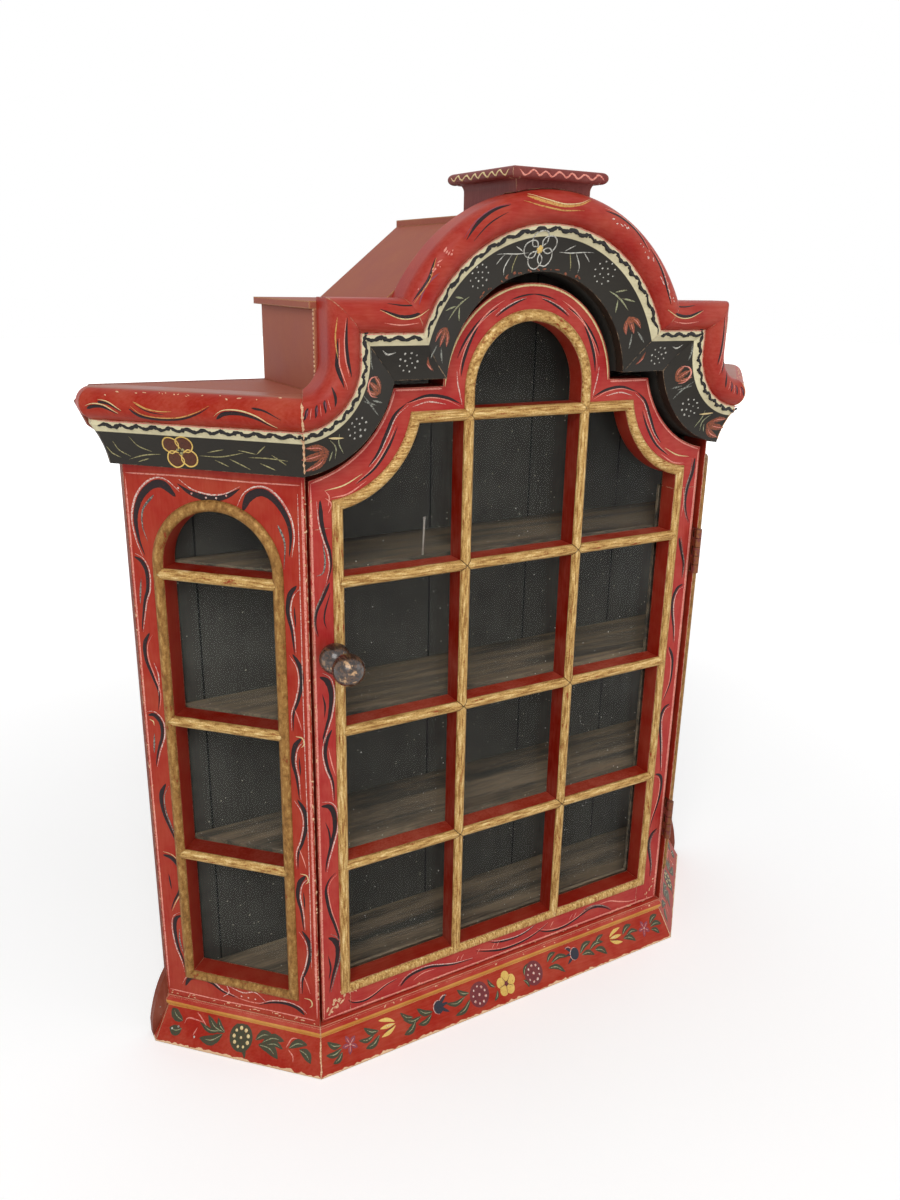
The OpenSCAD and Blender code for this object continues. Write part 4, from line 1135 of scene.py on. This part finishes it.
def door_left_stile(work):
    work.lit("black", "grey", [(-109.4, 76), (-106, 73), (-104.4, 68), (-105, 60), (-107.4, 51),
                               (-109.4, 42)],
             3.0, 1)
    work.stroke("black", [(-109.6, 65), (-108.4, 57), (-109.6, 50)], 1.3, swell)
    work.lit("black", "pink", [(-104.6, 113), (-108, 110), (-110, 105), (-109.4, 98), (-107.8, 90),
                               (-105.4, 82),
                               (-103.6, 74), (-104, 69)], 1.8, 1, swell)
    work.lit("black", "white", [(-111.4, 152.4), (-107, 151), (-104.8, 146), (-104.6, 138), (-106.6, 130),
                                (-109, 121), (-110, 115)], 3.0, 1)
    work.stroke("black", [(-109.4, 143), (-107.6, 137), (-107.2, 130), (-108.6, 124)], 1.3, swell)
    work.lit("black", "white", [(-105, 192), (-107.6, 187), (-108.6, 180), (-107.4, 172), (-105, 164),
                                (-104.4, 154)], 2.2, -1)
    work.stroke("black", [(-106, 200), (-107.6, 194), (-110, 188)], 1.5, swell)
    work.stroke("pink", [(-107, 183), (-105.6, 175), (-103.6, 167)], 0.8, swell, 1)
    work.lit("black", "white", [(-110.6, 220), (-106.8, 217), (-105, 210), (-106, 200), (-108.4, 192),
                                (-109.6, 186)], 3.0, 1)
    work.stroke("black", [(-109.4, 211), (-108.2, 205), (-108.6, 199)], 1.2, swell)
    work.lit("black", "white", [(-108.4, 303), (-107.8, 293), (-106, 285), (-104.2, 279), (-103.8, 272),
                                (-105.6, 265)], 2.2, -1)
    work.stroke("grey", [(-107.6, 284), (-106.6, 276), (-107.6, 270), (-111, 268.6)], 1.1, swell, 1)
    work.lit("black", "grey", [(-104.6, 265), (-108, 258), (-111, 252), (-111.8, 246), (-110.6, 240)],
             1.7, -1)
    work.stroke("black", [(-104.4, 260), (-107, 252), (-107.6, 247), (-106.4, 243)], 1.1, swell)
    for rise in (0, 3.2):
        work.stroke("pink", [(-106, 307 - rise), (-104 + rise / 3, 304 - rise), (-104.6, 300 - rise)],
                    0.8, swell, 1)


def door_right_stile(work):
    work.lit("black", "grey", [(110, 76), (105.6, 72.6), (104, 66), (105.6, 58), (107.4, 50),
                               (107.6, 42)], 2.2, 1)
    work.lit("black", "pink", [(104, 115), (108, 113), (109.8, 108), (109.4, 100), (108, 93), (105.2, 84),
                               (104, 78)], 2.2, -1)
    work.lit("black", "white", [(110, 160), (106, 158), (103.8, 152), (104.4, 144), (106, 134),
                                (107, 125),
                                (108, 116)], 2.2, 1)
    work.lit("black", "pink", [(105, 197), (108.4, 190), (109.2, 182), (108.4, 173), (104.4, 163)],
             2.0, -1)
    work.lit("black", "white", [(111, 234), (107, 232), (104.4, 226), (104.8, 218), (107, 208),
                                (108, 199)], 2.2, 1)
    work.lit("black", "grey", [(104.6, 262), (107, 254), (109.6, 246), (109.6, 238)], 1.8, 1)
    work.lit("black", "grey", [(110.6, 306), (109.8, 298), (107.4, 290), (106.8, 282), (108.4, 275),
                               (111, 270)],
             2.3, -1)
    work.stroke("pink", [(104, 291), (105.4, 283), (104.6, 274)], 0.8, swell)


def door_rail_waves(work):
    """Waves of strokes along the rail under the window."""
    work.lit("black", "pink", [(-99, 33), (-96, 30), (-90, 28.6), (-84, 30), (-77, 33.4), (-70, 35)],
             1.3, 1, swell)
    work.lit("black", "white", [(-68, 29), (-64, 33), (-58, 34.8), (-50, 34.8), (-42, 32.6), (-34, 30.6),
                                (-22, 29.6)], 2.0, 1)
    work.stroke("pink", [(-60, 30), (-54, 32.4), (-46, 32.2)], 0.8, swell, 1)
    work.lit("black", "pink", [(-20, 34), (-12, 31), (-3, 28.6), (6, 28.2), (15, 29.2), (23, 31.6),
                               (30, 35)],
             1.6, 1, swell)
    work.lit("black", "white", [(-12, 37.4), (-6, 34.8), (2, 33.6), (10, 33.6), (17, 35.4),
                                (21, 37.4)], 1.4, 1, swell)
    work.lit("black", "pink", [(22, 33), (28, 29.8), (35, 28.2), (43, 28.4), (51, 30.6), (59, 33.8),
                               (67, 35)],
             1.6, 1, swell)
    work.lit("black", "grey", [(54, 31.4), (60, 34.2), (67, 33.6), (73, 31), (78, 27.4)], 2.2, 1)
    work.stroke("pink", [(66, 35), (76, 34.6), (84, 31.6), (92, 29), (99, 28.4)], 1.1, swell)
    for across in (-32, -29, -18, -8, -5, 33, 47, 50):
        work.stroke("pink", [(across - 1, 31.6), (across, 33.6), (across + 1, 35)], 0.6, swell)


def door_head_strokes(work):
    """Long strokes that follow the arch and the shoulders of the door's head."""
    def arc(hand, radius, start, end, drift=0.0):
        points = []
        for i in range(7):
            a = math.radians(start + (end - start) * i / 6)
            reach = radius + drift * i / 6
            points.append((hand * reach * math.cos(a), DOOR_ARCH_Z + reach * math.sin(a)))
        return points
    for hand in (-1, 1):
        work.lit("black", "pink", arc(hand, 38.8, 10, 44, 2.5), 1.7, -hand, swell)
        work.lit("black", "pink", arc(hand, 43.2, 20, 62, -1.5), 1.3, hand, swell)
        work.stroke("pink", arc(hand, 41.6, 34, 68, 1.5), 0.9, swell, 1)
        work.lit("black", "white", arc(hand, 38.4, 58, 84, 2.5), 1.2, -hand, swell)
        work.stroke("black", arc(hand, 42, 72, 92, 0.8), 1.0, swell)
        work.stroke("white", [(hand * 37.4, 340.8), (hand * 38.6, 345.4), (hand * 40, 351),
                              (hand * 40.6, 356)],
                    0.8, swell, 1)
        work.lit("black", "pink", [(hand * 38, 341.4), (hand * 46, 344.6), (hand * 56, 345.6),
                                   (hand * 66, 343)],
                 1.6, -hand, swell)
        work.stroke("white", [(hand * 46, 341.6), (hand * 55, 343), (hand * 63, 341.2)], 0.8, swell, 1)
        work.lit("black", "white", [(hand * 66, 343), (hand * 72, 338), (hand * 76, 330),
                                    (hand * 80, 322),
                                    (hand * 85, 316)], 1.8, -hand, swell)
        work.lit("black", "pink", [(hand * 70.4, 333), (hand * 75, 324), (hand * 82, 315),
                                   (hand * 91, 308.6)],
                 1.5, hand, swell)
        work.stroke("pink", [(hand * 86, 309.6), (hand * 95, 304.6), (hand * 103, 303.6)], 1.0, swell)
        work.stroke("cream", [(hand * 88, 313), (hand * 97, 308.6), (hand * 106, 307)], 0.8, swell, 1)


# Plinth

def plinth_leaves(work, spots, layer=0):
    for base, tip, width in spots:
        work.leaf("leaf green", "pale green", base, tip, width * LEAF_SPREAD, 0.14, layer)


def plinth_disc(work, paint, dots, centre, radius, count):
    work.dot(paint, centre, radius)
    work.ring_of_dots(dots, centre, radius * 0.6, count, 0.75, 2)
    work.dot(dots, centre, 0.9, 2)


def plinth_front_garland():
    """Flowers, leaves and dotted discs either side of a pansy."""
    work = Brushwork(plinth_front, 37)
    pansy = Vector((-2.5, 9.6))
    for turn in range(5):
        a = math.radians(90 + 72 * turn)
        spot = pansy + Vector((math.cos(a), math.sin(a))) * 3.7
        work.dot("yellow", spot, 2.9, 0.3 * turn)
        work.stroke("maroon", [pansy, pansy + Vector((math.cos(a + 0.5), math.sin(a + 0.5))) * 4.6],
                    0.6, comma, 3)
    work.dot("maroon", pansy, 1.3, 4)
    plinth_disc(work, "maroon", "white", (-20.8, 9.4), 6.8, 9)
    plinth_disc(work, "maroon", "white", (16.6, 9.4), 6.8, 9)
    for hand in (-1, 1):
        garland_half(work, hand)
    work.chips("bare wood", (-116, 22.6), (116, 22.6), 16, 1.2, 0.5, 1)
    return work


def garland_half(work, hand):
    """Bell, leaves, tulip and leaves out to the corner."""
    def at(across, up):
        return (hand * across, up)
    plinth_leaves(work, [(at(10, 10), at(14, 15), 1.2), (at(9, 8), at(12, 3.6), 1.2)], 1)
    plinth_leaves(work, [(at(27, 12), at(34, 15.4), 1.7), (at(27, 9), at(38, 4), 1.8),
                         (at(30, 11), at(42, 11), 1.7)])
    bell = Vector(at(47, 11))
    work.dot("blue black", bell, 3.3, 1, 1.05)
    for rise in (-2.6, 0.4, 3.2):
        work.stroke("blue black", [bell, bell + Vector((hand * -3, rise * 0.8)),
                                   bell + Vector((hand * -6, rise * 1.5))],
                    2.0, swell, 1)
    work.stroke("white", turned(bell.x, bell.y, 3.2, 60, 270), 0.6, swell, 3)
    work.stroke("white", [bell + Vector((hand * -1, 3)), bell + Vector((hand * -4, 4.6)),
                          bell + Vector((hand * -6, 4))],
                0.5, swell, 3)
    plinth_leaves(work, [(at(51, 10), at(60, 14), 2.0), (at(52, 9), at(61, 6.6), 1.8),
                         (at(58, 10), at(69, 11.4), 1.6),
                         (at(62, 9), at(70, 4.6), 2.2), (at(63, 11), at(70, 15), 1.6)])
    tulip = Vector(at(78, 11.4))
    for rise in (-3.2, 0, 3.2):
        work.stroke("yellow", [tulip + Vector((hand * -4, rise * 0.3)), tulip + Vector((0, rise * 0.9)),
                               tulip + Vector((hand * 5, rise * 1.2))], 2.4, swell, 1)
    work.stroke("cream", [tulip + Vector((hand * -3, 0)), tulip + Vector((hand * 2, 0.4))], 0.9, swell, 3)
    work.stroke("maroon", [tulip + Vector((hand * -3, -1)), tulip + Vector((hand * 3, -2.2))], 0.5,
                swell, 3)
    plinth_leaves(work, [(at(84, 11), at(92, 14.6), 1.9), (at(84, 9), at(93, 5.4), 2.0),
                         (at(87, 10), at(96, 10), 1.5)])
    flower = at(101, 10)
    work.petals("purple", flower, 5, 0.4, 4.6, 3.0, 40)
    work.petals("pink", flower, 5, 0.6, 3.4, 0.6, 40, 2)
    work.dot("white", flower, 0.7, 3)
    plinth_leaves(work, [(at(106, 11), at(113, 14.6), 2.0), (at(106, 9.6), at(115, 9), 1.9),
                         (at(106, 8), at(112, 4.4), 1.8)])


def plinth_side_garland(hand):
    """A dotted black disc between sprays of leaves."""
    work = Brushwork(plinth_side(hand), 41)
    disc = (44.7, 10.0)
    work.dot("leaf green", disc, 7.2)
    work.stroke("leaf green", [(46.5, 6), (48, 3), (48.4, 1.2)], 4.0, comma)
    work.ring_of_dots("cream", disc, 4.2, 9, 0.95, 2)
    work.dot("cream", disc, 0.8, 2)
    plinth_leaves(work, [((10, 11.6), (2.6, 17.2), 3.2), ((10, 8), (2.8, 7.2), 3.4),
                         ((35, 10.6), (24, 16.6), 2.4),
                         ((35, 11), (30, 16.4), 1.8), ((34, 9.6), (21, 5.6), 3.0), ((33, 11),
                                                                                    (20, 12.6), 1.6)])
    plinth_leaves(work, [((53, 10.4), (62, 14), 2.6), ((57, 10), (69, 12.6), 2.4),
                         ((55, 8.6), (67, 4.4), 3.2),
                         ((60, 9.6), (69, 9), 1.6), ((72, 10), (82, 13.2), 2.4), ((78, 10.4),
                                                                                  (85.4, 5.6), 2.8)])
    for line in ([(11, 10.4), (13, 13.4), (22, 13)], [(17, 17), (20, 15), (24, 11.6)],
                 [(19, 10), (17, 6)],
                 [(70.6, 10), (73, 14.4), (76, 15)], [(72, 9.4), (75, 7), (75.6, 4.6)]):
        work.stroke("pink", line, 0.8, swell, 1)
    for spot in ((4.4, 7.2), (8, 8.6), (18, 5.6)):
        work.dot("chalk", spot, 0.6, 2)
    corner = [(CANT_W + plinth_out(up) * MITRE - 0.4 + 0.5 * work.hand.random(), up) for up in range(1,
                                                                                                     17)]
    work.stroke("bare wood", corner, 0.9, even, 2, shake=1.2)
    return work


# Cornice

def band_line(work, start, end, seed):
    """The black wavy line along the cream band."""
    count = int((end - start) / 1.6)
    points = []
    for i in range(count + 1):
        across = start + (end - start) * i / count
        points.append((across, COVE_RUN + 1.5 + 0.6 * math.sin(across * 0.8 + seed)))
    work.stroke("cove shadow", points, 1.8, even, 1, shake=0.9)
    work.stroke("pink", [(across, COVE_RUN + BAND_W - 0.3) for across, _ in points], 0.5, even, 1,
                shake=1.2)


def cornice_cant_ornament(hand):
    work = Brushwork(cornice_cant(hand), 53, 1.9)
    band_line(work, -2, CANT_W + 4, 0.4)
    flower = (34, 8)
    work.outlined_flower("yellow", flower, 8.6, 4, 0.8, 52, "brown")
    for spot in ((34.6, 7.2), (33.2, 8.8), (35.6, 9)):
        work.dot("olive", spot, 0.8, 5)
    for points in ([(24, 6), (16, 5), (8, 2.6)], [(11, 14), (14, 9.4), (20, 7)],
                   [(2, 11), (4, 6.6), (9, 4)],
                   [(-2, 8), (0, 5), (4, 3)], [(18, 3.6), (12, 1.6)], [(43, 6.6), (53, 6.8), (64, 9.4)],
                   [(47, 8.4), (55, 10.4)], [(50, 5), (56, 2.4)], [(57, 6), (66, 1.8)], [(62, 10.6),
                                                                                         (70, 9.2)],
                   [(66, 7.4), (75, 7.6), (84, 7)], [(70, 9), (75, 13.6)], [(71, 5),
                                                                            (78, 2.2)], [(77, 9.4),
                                                                                         (83, 5)]):
        work.stroke("olive", points, 0.75, swell)
    work.lit("black", "cream", [(-3.4, 30.4), (0, 31.6), (5, 31.4), (11, 28.6)], 1.8, 1)
    work.lit("black", "cream", [(2, 33.6), (7, 33), (13, 30)], 1.4, 1)
    work.lit("black", "gold", [(17, 31.4), (22, 28), (30, 26.8), (40, 27.8), (49, 31), (54.4, 34)],
             1.9, 1)
    work.stroke("gold", [(19, 34.4), (25, 31.8), (31, 31), (37, 31.2)], 1.2, comma, 1)
    work.stroke("black", [(20, 33.2), (26, 30.6), (33, 29.6)], 0.7, swell)
    work.lit("black", "cream", [(57, 29), (61, 31.6), (68, 32), (75, 30.4), (80, 27.6), (83, 25.6)],
             2.2, 1)
    work.stroke("black", [(73, 34.6), (79, 33.6), (86, 30.4)], 1.5, comma)
    rounds = [1.5 + 1.6 * i for i in range(24)]
    corner = [(CANT_W + cornice_section(q, 0).y * MITRE - 0.4 + 0.5 * work.hand.random(),
               q) for q in rounds]
    work.stroke("bare wood", corner, 1.0, even, 2, shake=1.2)
    work.chips("bare wood", (2, 38), (88, 40), 18, 1.2, 1.2, 2)
    return work


def tulip(work, centre, size, way, paint="rust", light="pink"):
    """An open tulip of three curved petals. way is its direction in degrees."""
    centre = Vector(centre)
    for turn, width in ((-38, 0.34), (0, 0.4), (38, 0.34)):
        a, b = math.radians(way + turn), math.radians(way + turn * 0.35)
        middle = centre + Vector((math.cos(a), math.sin(a))) * size * 0.55
        tip = middle + Vector((math.cos(b), math.sin(b))) * size * 0.5
        work.stroke(paint, [centre, middle, tip], size * width * 1.1, swell)
        work.stroke(light, [centre.lerp(middle, 0.6), middle, tip], size * 0.06, swell, 2)


def cornice_quarter_ornament(hand):
    work = Brushwork(cornice_front(quarter_place(hand)), 59, 1.9)
    band_line(work, -0.8, 84, 1.7)
    tulip(work, (15.6, 8), 12, 180)
    work.stroke("cream", [(17, 14.4), (20, 12.4), (24, 9.6)], 1.4, swell, 2)
    for points in ([(17, 3), (19, 8), (17.4, 13)], [(21, 3), (21, 9), (23, 13)], [(17, 7), (14.6, 3.4)]):
        work.stroke("pale green", points, 0.8, swell)
    work.ring_of_dots("chalk", (31.5, 8), 4.6, 9, 0.6)
    work.ring_of_dots("chalk", (31.5, 8), 2.0, 4, 0.5)
    for points in ([(41, 2), (43, 9), (45, 16)], [(44, 6), (42.6, 14)], [(46, 3), (45, 9)]):
        work.stroke("grey", points, 1.1, swell)
    tulip(work, (49, 6), 8.6, 70, "rust", "pink")
    work.stroke("pink", [(47, 7), (46.6, 11), (50, 14.6), (54, 14), (55.4, 10)], 1.1, swell, 2)
    work.leaf("grey", None, (58, 13.6), (67, 15), 1.3, 0.1)
    work.stroke("chalk", [(66, 12), (65.4, 8), (67, 4)], 0.9, swell)
    for across in (1, 10, 18.5):
        work.stroke("black", [(across, 30.6), (across + 2, 33), (across + 5.4, 35.4)], 3.2, swell)
        work.stroke("purple", [(across + 1.6, 31.4), (across + 3, 33.4), (across + 5, 34.8)], 1.2,
                    swell, 1)
        work.stroke("pink", [(across + 4.6, 30.6), (across + 6, 33), (across + 8, 35)], 0.7, swell, 1)
    work.stroke("black", [(27, 30.4), (32, 33), (38, 37)], 2.4, swell)
    work.lit("black", "pink", [(42, 32), (50, 35.4), (60, 37.4), (72, 37)], 2.2, -1, swell)
    work.lit("black", "pink", [(52, 30.6), (60, 32.4), (70, 33.6), (80, 33)], 1.6, 1, swell)
    work.stroke("gold", [(64, 37), (72, 38), (80, 37)], 0.9, swell, 1)
    return work


def cornice_step_ornament(hand):
    work = Brushwork(cornice_front(step_place(hand)), 61, 1.9)
    band_line(work, 66, 93, 2.2)
    work.ring_of_dots("chalk", (70, 8), 4.4, 9, 0.55)
    work.ring_of_dots("chalk", (70, 8), 1.8, 4, 0.5)
    work.stroke("chalk", [(77, 12.6), (80.6, 11.6), (83.4, 13.6)], 1.2, swell)
    work.stroke("rust", [(57, 3.6), (60, 6.4), (61, 10)], 1.8, swell)
    work.stroke("pink", [(58, 4), (61, 7)], 0.7, swell, 1)
    work.lit("black", "cream", [(66, 36), (72, 32.6), (79, 32), (88, 35)], 1.6, -1, swell)
    work.stroke("black", [(68, 37.4), (76, 36.6), (84, 37.6)], 1.1, swell)
    work.stroke("pink", [(70, 29.4), (78, 28.4), (86, 29.4)], 0.9, swell)
    return work


def cornice_arch_ornament():
    work = Brushwork(cornice_front(arch_place), 67, 1.9)
    band_line(work, -74, 74, 0.9)
    work.outlined_flower("chalk", (-5, 9.8), 8.8, 5, 0.7, 100)
    work.dot("yellow", (-5, 9.8), 1.9, 2, 1.1)
    for hand in (-1, 1):
        shift = 5.0
        def at(*points):
            return [(hand * across - (shift if hand < 0 else 0), up) for across, up in points]
        for points in (((6, 9), (13, 10), (23, 14)), ((12, 9.6), (15, 5), (16, 2.4)),
                       ((15, 10.6), (20, 6), (21, 3)),
                       ((9, 10), (13, 13.6)), ((19, 12), (24, 9.6))):
            work.stroke("olive" if points[0][0] == 12 else "chalk", at(*points), 0.8, swell)
        work.ring_of_dots("chalk", at((34, 10))[0], 5.0, 10, 0.5)
        work.ring_of_dots("chalk", at((34, 10))[0], 2.2, 5, 0.45)
        for points in (((43, 6), (50, 8), (58, 9)), ((46, 8), (49, 13)), ((51, 9), (56, 13.6)),
                       ((50, 7), (55, 3))):
            work.stroke("pale green", at(*points), 1.2, swell)
        tulip(work, at((61, 8))[0], 8.6, 0 if hand > 0 else 180)
        for points in (((70, 10), (76, 12)), ((70, 7), (77, 4))):
            work.stroke("grey", at(*points), 1.4, swell)
    work.lit("gold", "cream", [(-13, 38), (-8, 34.6), (0, 32.2), (7, 33.6), (12, 37.4)], 1.7, 1)
    work.stroke("gold", [(-15, 36), (-9, 32.6), (0, 30.4), (9, 31.6)], 0.9, swell, 1)
    work.lit("black", "purple", [(-40, 33.4), (-33, 36), (-26, 37), (-20, 36)], 1.7, 1, swell)
    work.stroke("black", [(-38, 31), (-30, 33), (-22, 33.6)], 0.8, swell)
    work.lit("black", "gold", [(-66, 37), (-58, 35.4), (-51, 38)], 1.3, -1, swell)
    work.stroke("purple", [(-66, 34), (-60, 35), (-54, 33)], 1.4, swell)
    work.lit("black", "pink", [(18, 35), (26, 36.6), (34, 36), (41, 33.6)], 1.6, 1, swell)
    work.lit("black", "pink", [(42, 35), (50, 34), (58, 32), (64, 31)], 1.4, 1, swell)
    work.chips("white", (20, 33), (66, 32), 22, 1.4, 1.6, 1)
    work.chips("pink", (-64, 36), (-45, 35), 14, 1.4, 1.6, 1)
    work.chips("rust", (-44, 1.4), (44, 1.4), 24, 1.8, 0.5, 1)
    return work


def pedestal_line():
    """The wavy line along the front and left of the pedestal's band."""
    low, high = lowest("pedestal"), highest("pedestal")
    band = 2.5
    def bulge(up):
        return math.sqrt(max(band ** 2 - (up - high.z + band) ** 2, 0)) - band
    def front(across, up, proud):
        return Vector((across, low.y - bulge(up) - proud, up)) * MM
    def left(across, up, proud):
        return Vector((low.x - bulge(up) - proud, across, up)) * MM
    made = []
    for name, surface, start, end, paint in (("pedestal_front_line", front, low.x + 3, high.x - 3,
                                              "pink"),
                                             ("pedestal_side_line", left, low.y + 3, high.y - 3,
                                              "cream")):
        work = Brushwork(surface, 71, 1.6)
        count = int((end - start) / 3.4)
        points = []
        for i in range(count + 1):
            along = start + (end - start) * i / count + work.hand.random()
            swing = (0.8 + 0.4 * work.hand.random()) * (-1) ** i
            points.append((along, high.z - band + swing))
        work.stroke(paint, points, 1.0, even, 1, shake=0.5)
        made.append((work, name))
    return made


def wall_edge_wear(hand):
    """Dots of bare wood down the front edge of a bonnet wall."""
    def at(across, up, proud):
        return Vector((hand * (WALL + proud), FRONT + across, up)) * MM
    work = Brushwork(at, 73)
    for i in range(int((SHOULDER.z - DECK) / 1.9)):
        work.dot("bare wood", (0.9, DECK + 1.5 + 1.9 * i), 0.62 + 0.25 * work.hand.random(), 1)
    return work


for hand, side in ((-1, "left"), (1, "right")):
    side_ornament(hand).lay(f"side_ornament_{side}", "case", "case_red")
    plinth_side_garland(hand).lay(f"plinth_garland_{side}", "case", "plinth_paint")
    cornice_cant_ornament(hand).lay(f"cornice_cant_ornament_{side}", "case", "cornice_paint")
    cornice_quarter_ornament(hand).lay(f"cornice_quarter_ornament_{side}", "case", "cornice_paint")
    cornice_step_ornament(hand).lay(f"cornice_step_ornament_{side}", "case", "cornice_paint")
    wall_edge_wear(hand).lay(f"bonnet_edge_wear_{side}", "case", "roof_red")
cornice_arch_ornament().lay("cornice_arch_ornament", "case", "cornice_paint")
plinth_front_garland().lay("plinth_garland_front", "case", "plinth_paint")
door_ornament().lay("door_ornament", "door", "door_red")
for work, name in pedestal_line():
    work.lay(name, "case", "roof_red")


# Dust on the glass

def glass_dust(name, surface, body, area, count, seed):
    """Specks of dust on a pane; area is (left, right, foot, top)."""
    work = Brushwork(surface, seed, 0.3)
    left, right, foot, top = area
    for _ in range(count):
        across = left + (right - left) * work.hand.random()
        up = foot + (top - foot) * work.hand.random() ** 1.2
        work.dot("chalk", (across, up), 0.16 + 0.22 * work.hand.random() ** 2)
    work.lay(name, body, "glass")


def door_pane(across, up, proud):
    return Vector((across, GLASS_FACE - proud, up)) * MM


glass_dust("door_glass_dust", door_pane, "door", (-94, 94, 46, 300), 230, 83)


# Floor, light and camera

def seen_through(tree):
    """1 where the camera sees a surface, straight, through glass or in a gleam, and 0 for its light."""
    path = tree.nodes.new("ShaderNodeLightPath").outputs
    return calc(tree, "MAXIMUM", path["Is Camera Ray"],
                calc(tree, "MAXIMUM", path["Is Glossy Ray"], path["Is Transmission Ray"]))


def pale_floor():
    mesh = bpy.data.meshes.new("floor")
    reach = 6.0
    drop = -0.0003
    corners = ((-1, -1), (1, -1), (1, 1), (-1, 1))
    mesh.from_pydata([(reach * x, reach * y, drop) for x, y in corners], [], [(0, 1, 2, 3)])
    material, tree, shader = blank("pale floor")
    where = place(tree)
    tone = noise(tree, where, 3, 2)
    tree.links.new(blend(tree, tone, rgb(240, 240, 240), rgb(246, 246, 246)), shader.inputs["Base Color"])
    far = ramp(tree, vector_calc(tree, "LENGTH", where), 0.25, 1.6, 0.3, 1.0)
    tree.links.new(calc(tree, "MULTIPLY", seen_through(tree), far), shader.inputs["Emission Strength"])
    tree.links.new(blend(tree, tone, rgb(254, 254, 254), rgb(255, 255, 255)),
                   shader.inputs["Emission Color"])
    shader.inputs["Roughness"].default_value = 0.85
    mesh.materials.append(material)
    floor = bpy.data.objects.new("floor", mesh)
    bpy.context.scene.collection.objects.link(floor)


def studio_world():
    world = bpy.data.worlds.new("studio")
    world.use_nodes = True
    tree = world.node_tree
    ambient = 0.5
    strength = ramp(tree, seen_through(tree), 0.0, 1.0, ambient, 1.0)
    background = tree.nodes["Background"]
    background.inputs["Color"].default_value = (1.0, 1.0, 1.0, 1.0)
    tree.links.new(strength, background.inputs["Strength"])
    bpy.context.scene.world = world


def softbox(name, spot, aim, size, watts):
    """A square lamp at spot, in metres, turned towards aim."""
    lamp = bpy.data.lights.new(name, "AREA")
    lamp.shape = "SQUARE"
    lamp.size = size
    lamp.energy = watts
    holder = bpy.data.objects.new(name, lamp)
    holder.location = spot
    holder.rotation_euler = (Vector(aim) - Vector(spot)).to_track_quat("-Z", "Y").to_euler()
    bpy.context.scene.collection.objects.link(holder)


def studio_camera():
    """The photograph's viewpoint: left of the front and above it."""
    spot = Vector((-267.4, -403.6, 396.0)) * MM
    yaw, pitch, roll = (math.radians(angle) for angle in (30.33, 18.41, 1.19))
    data = bpy.data.cameras.new("camera")
    data.sensor_width = 36.0
    data.lens = 29.024
    data.clip_start = 0.01
    camera = bpy.data.objects.new("camera", data)
    level = Euler((math.pi / 2 - pitch, 0, -yaw)).to_matrix()
    camera.matrix_world = Matrix.Translation(spot) @ (level @ Matrix.Rotation(roll, 3, "Z")).to_4x4()
    bpy.context.scene.collection.objects.link(camera)
    bpy.context.scene.camera = camera


pale_floor()
studio_world()
LIT_SPOT = (0, 0, 0.2)
softbox("key light", (-0.75, -1.15, 1.35), LIT_SPOT, 0.9, 14)
softbox("fill light", (1.2, -1.0, 0.8), LIT_SPOT, 0.9, 3)
studio_camera()
bpy.context.scene.view_settings.view_transform = "Standard"
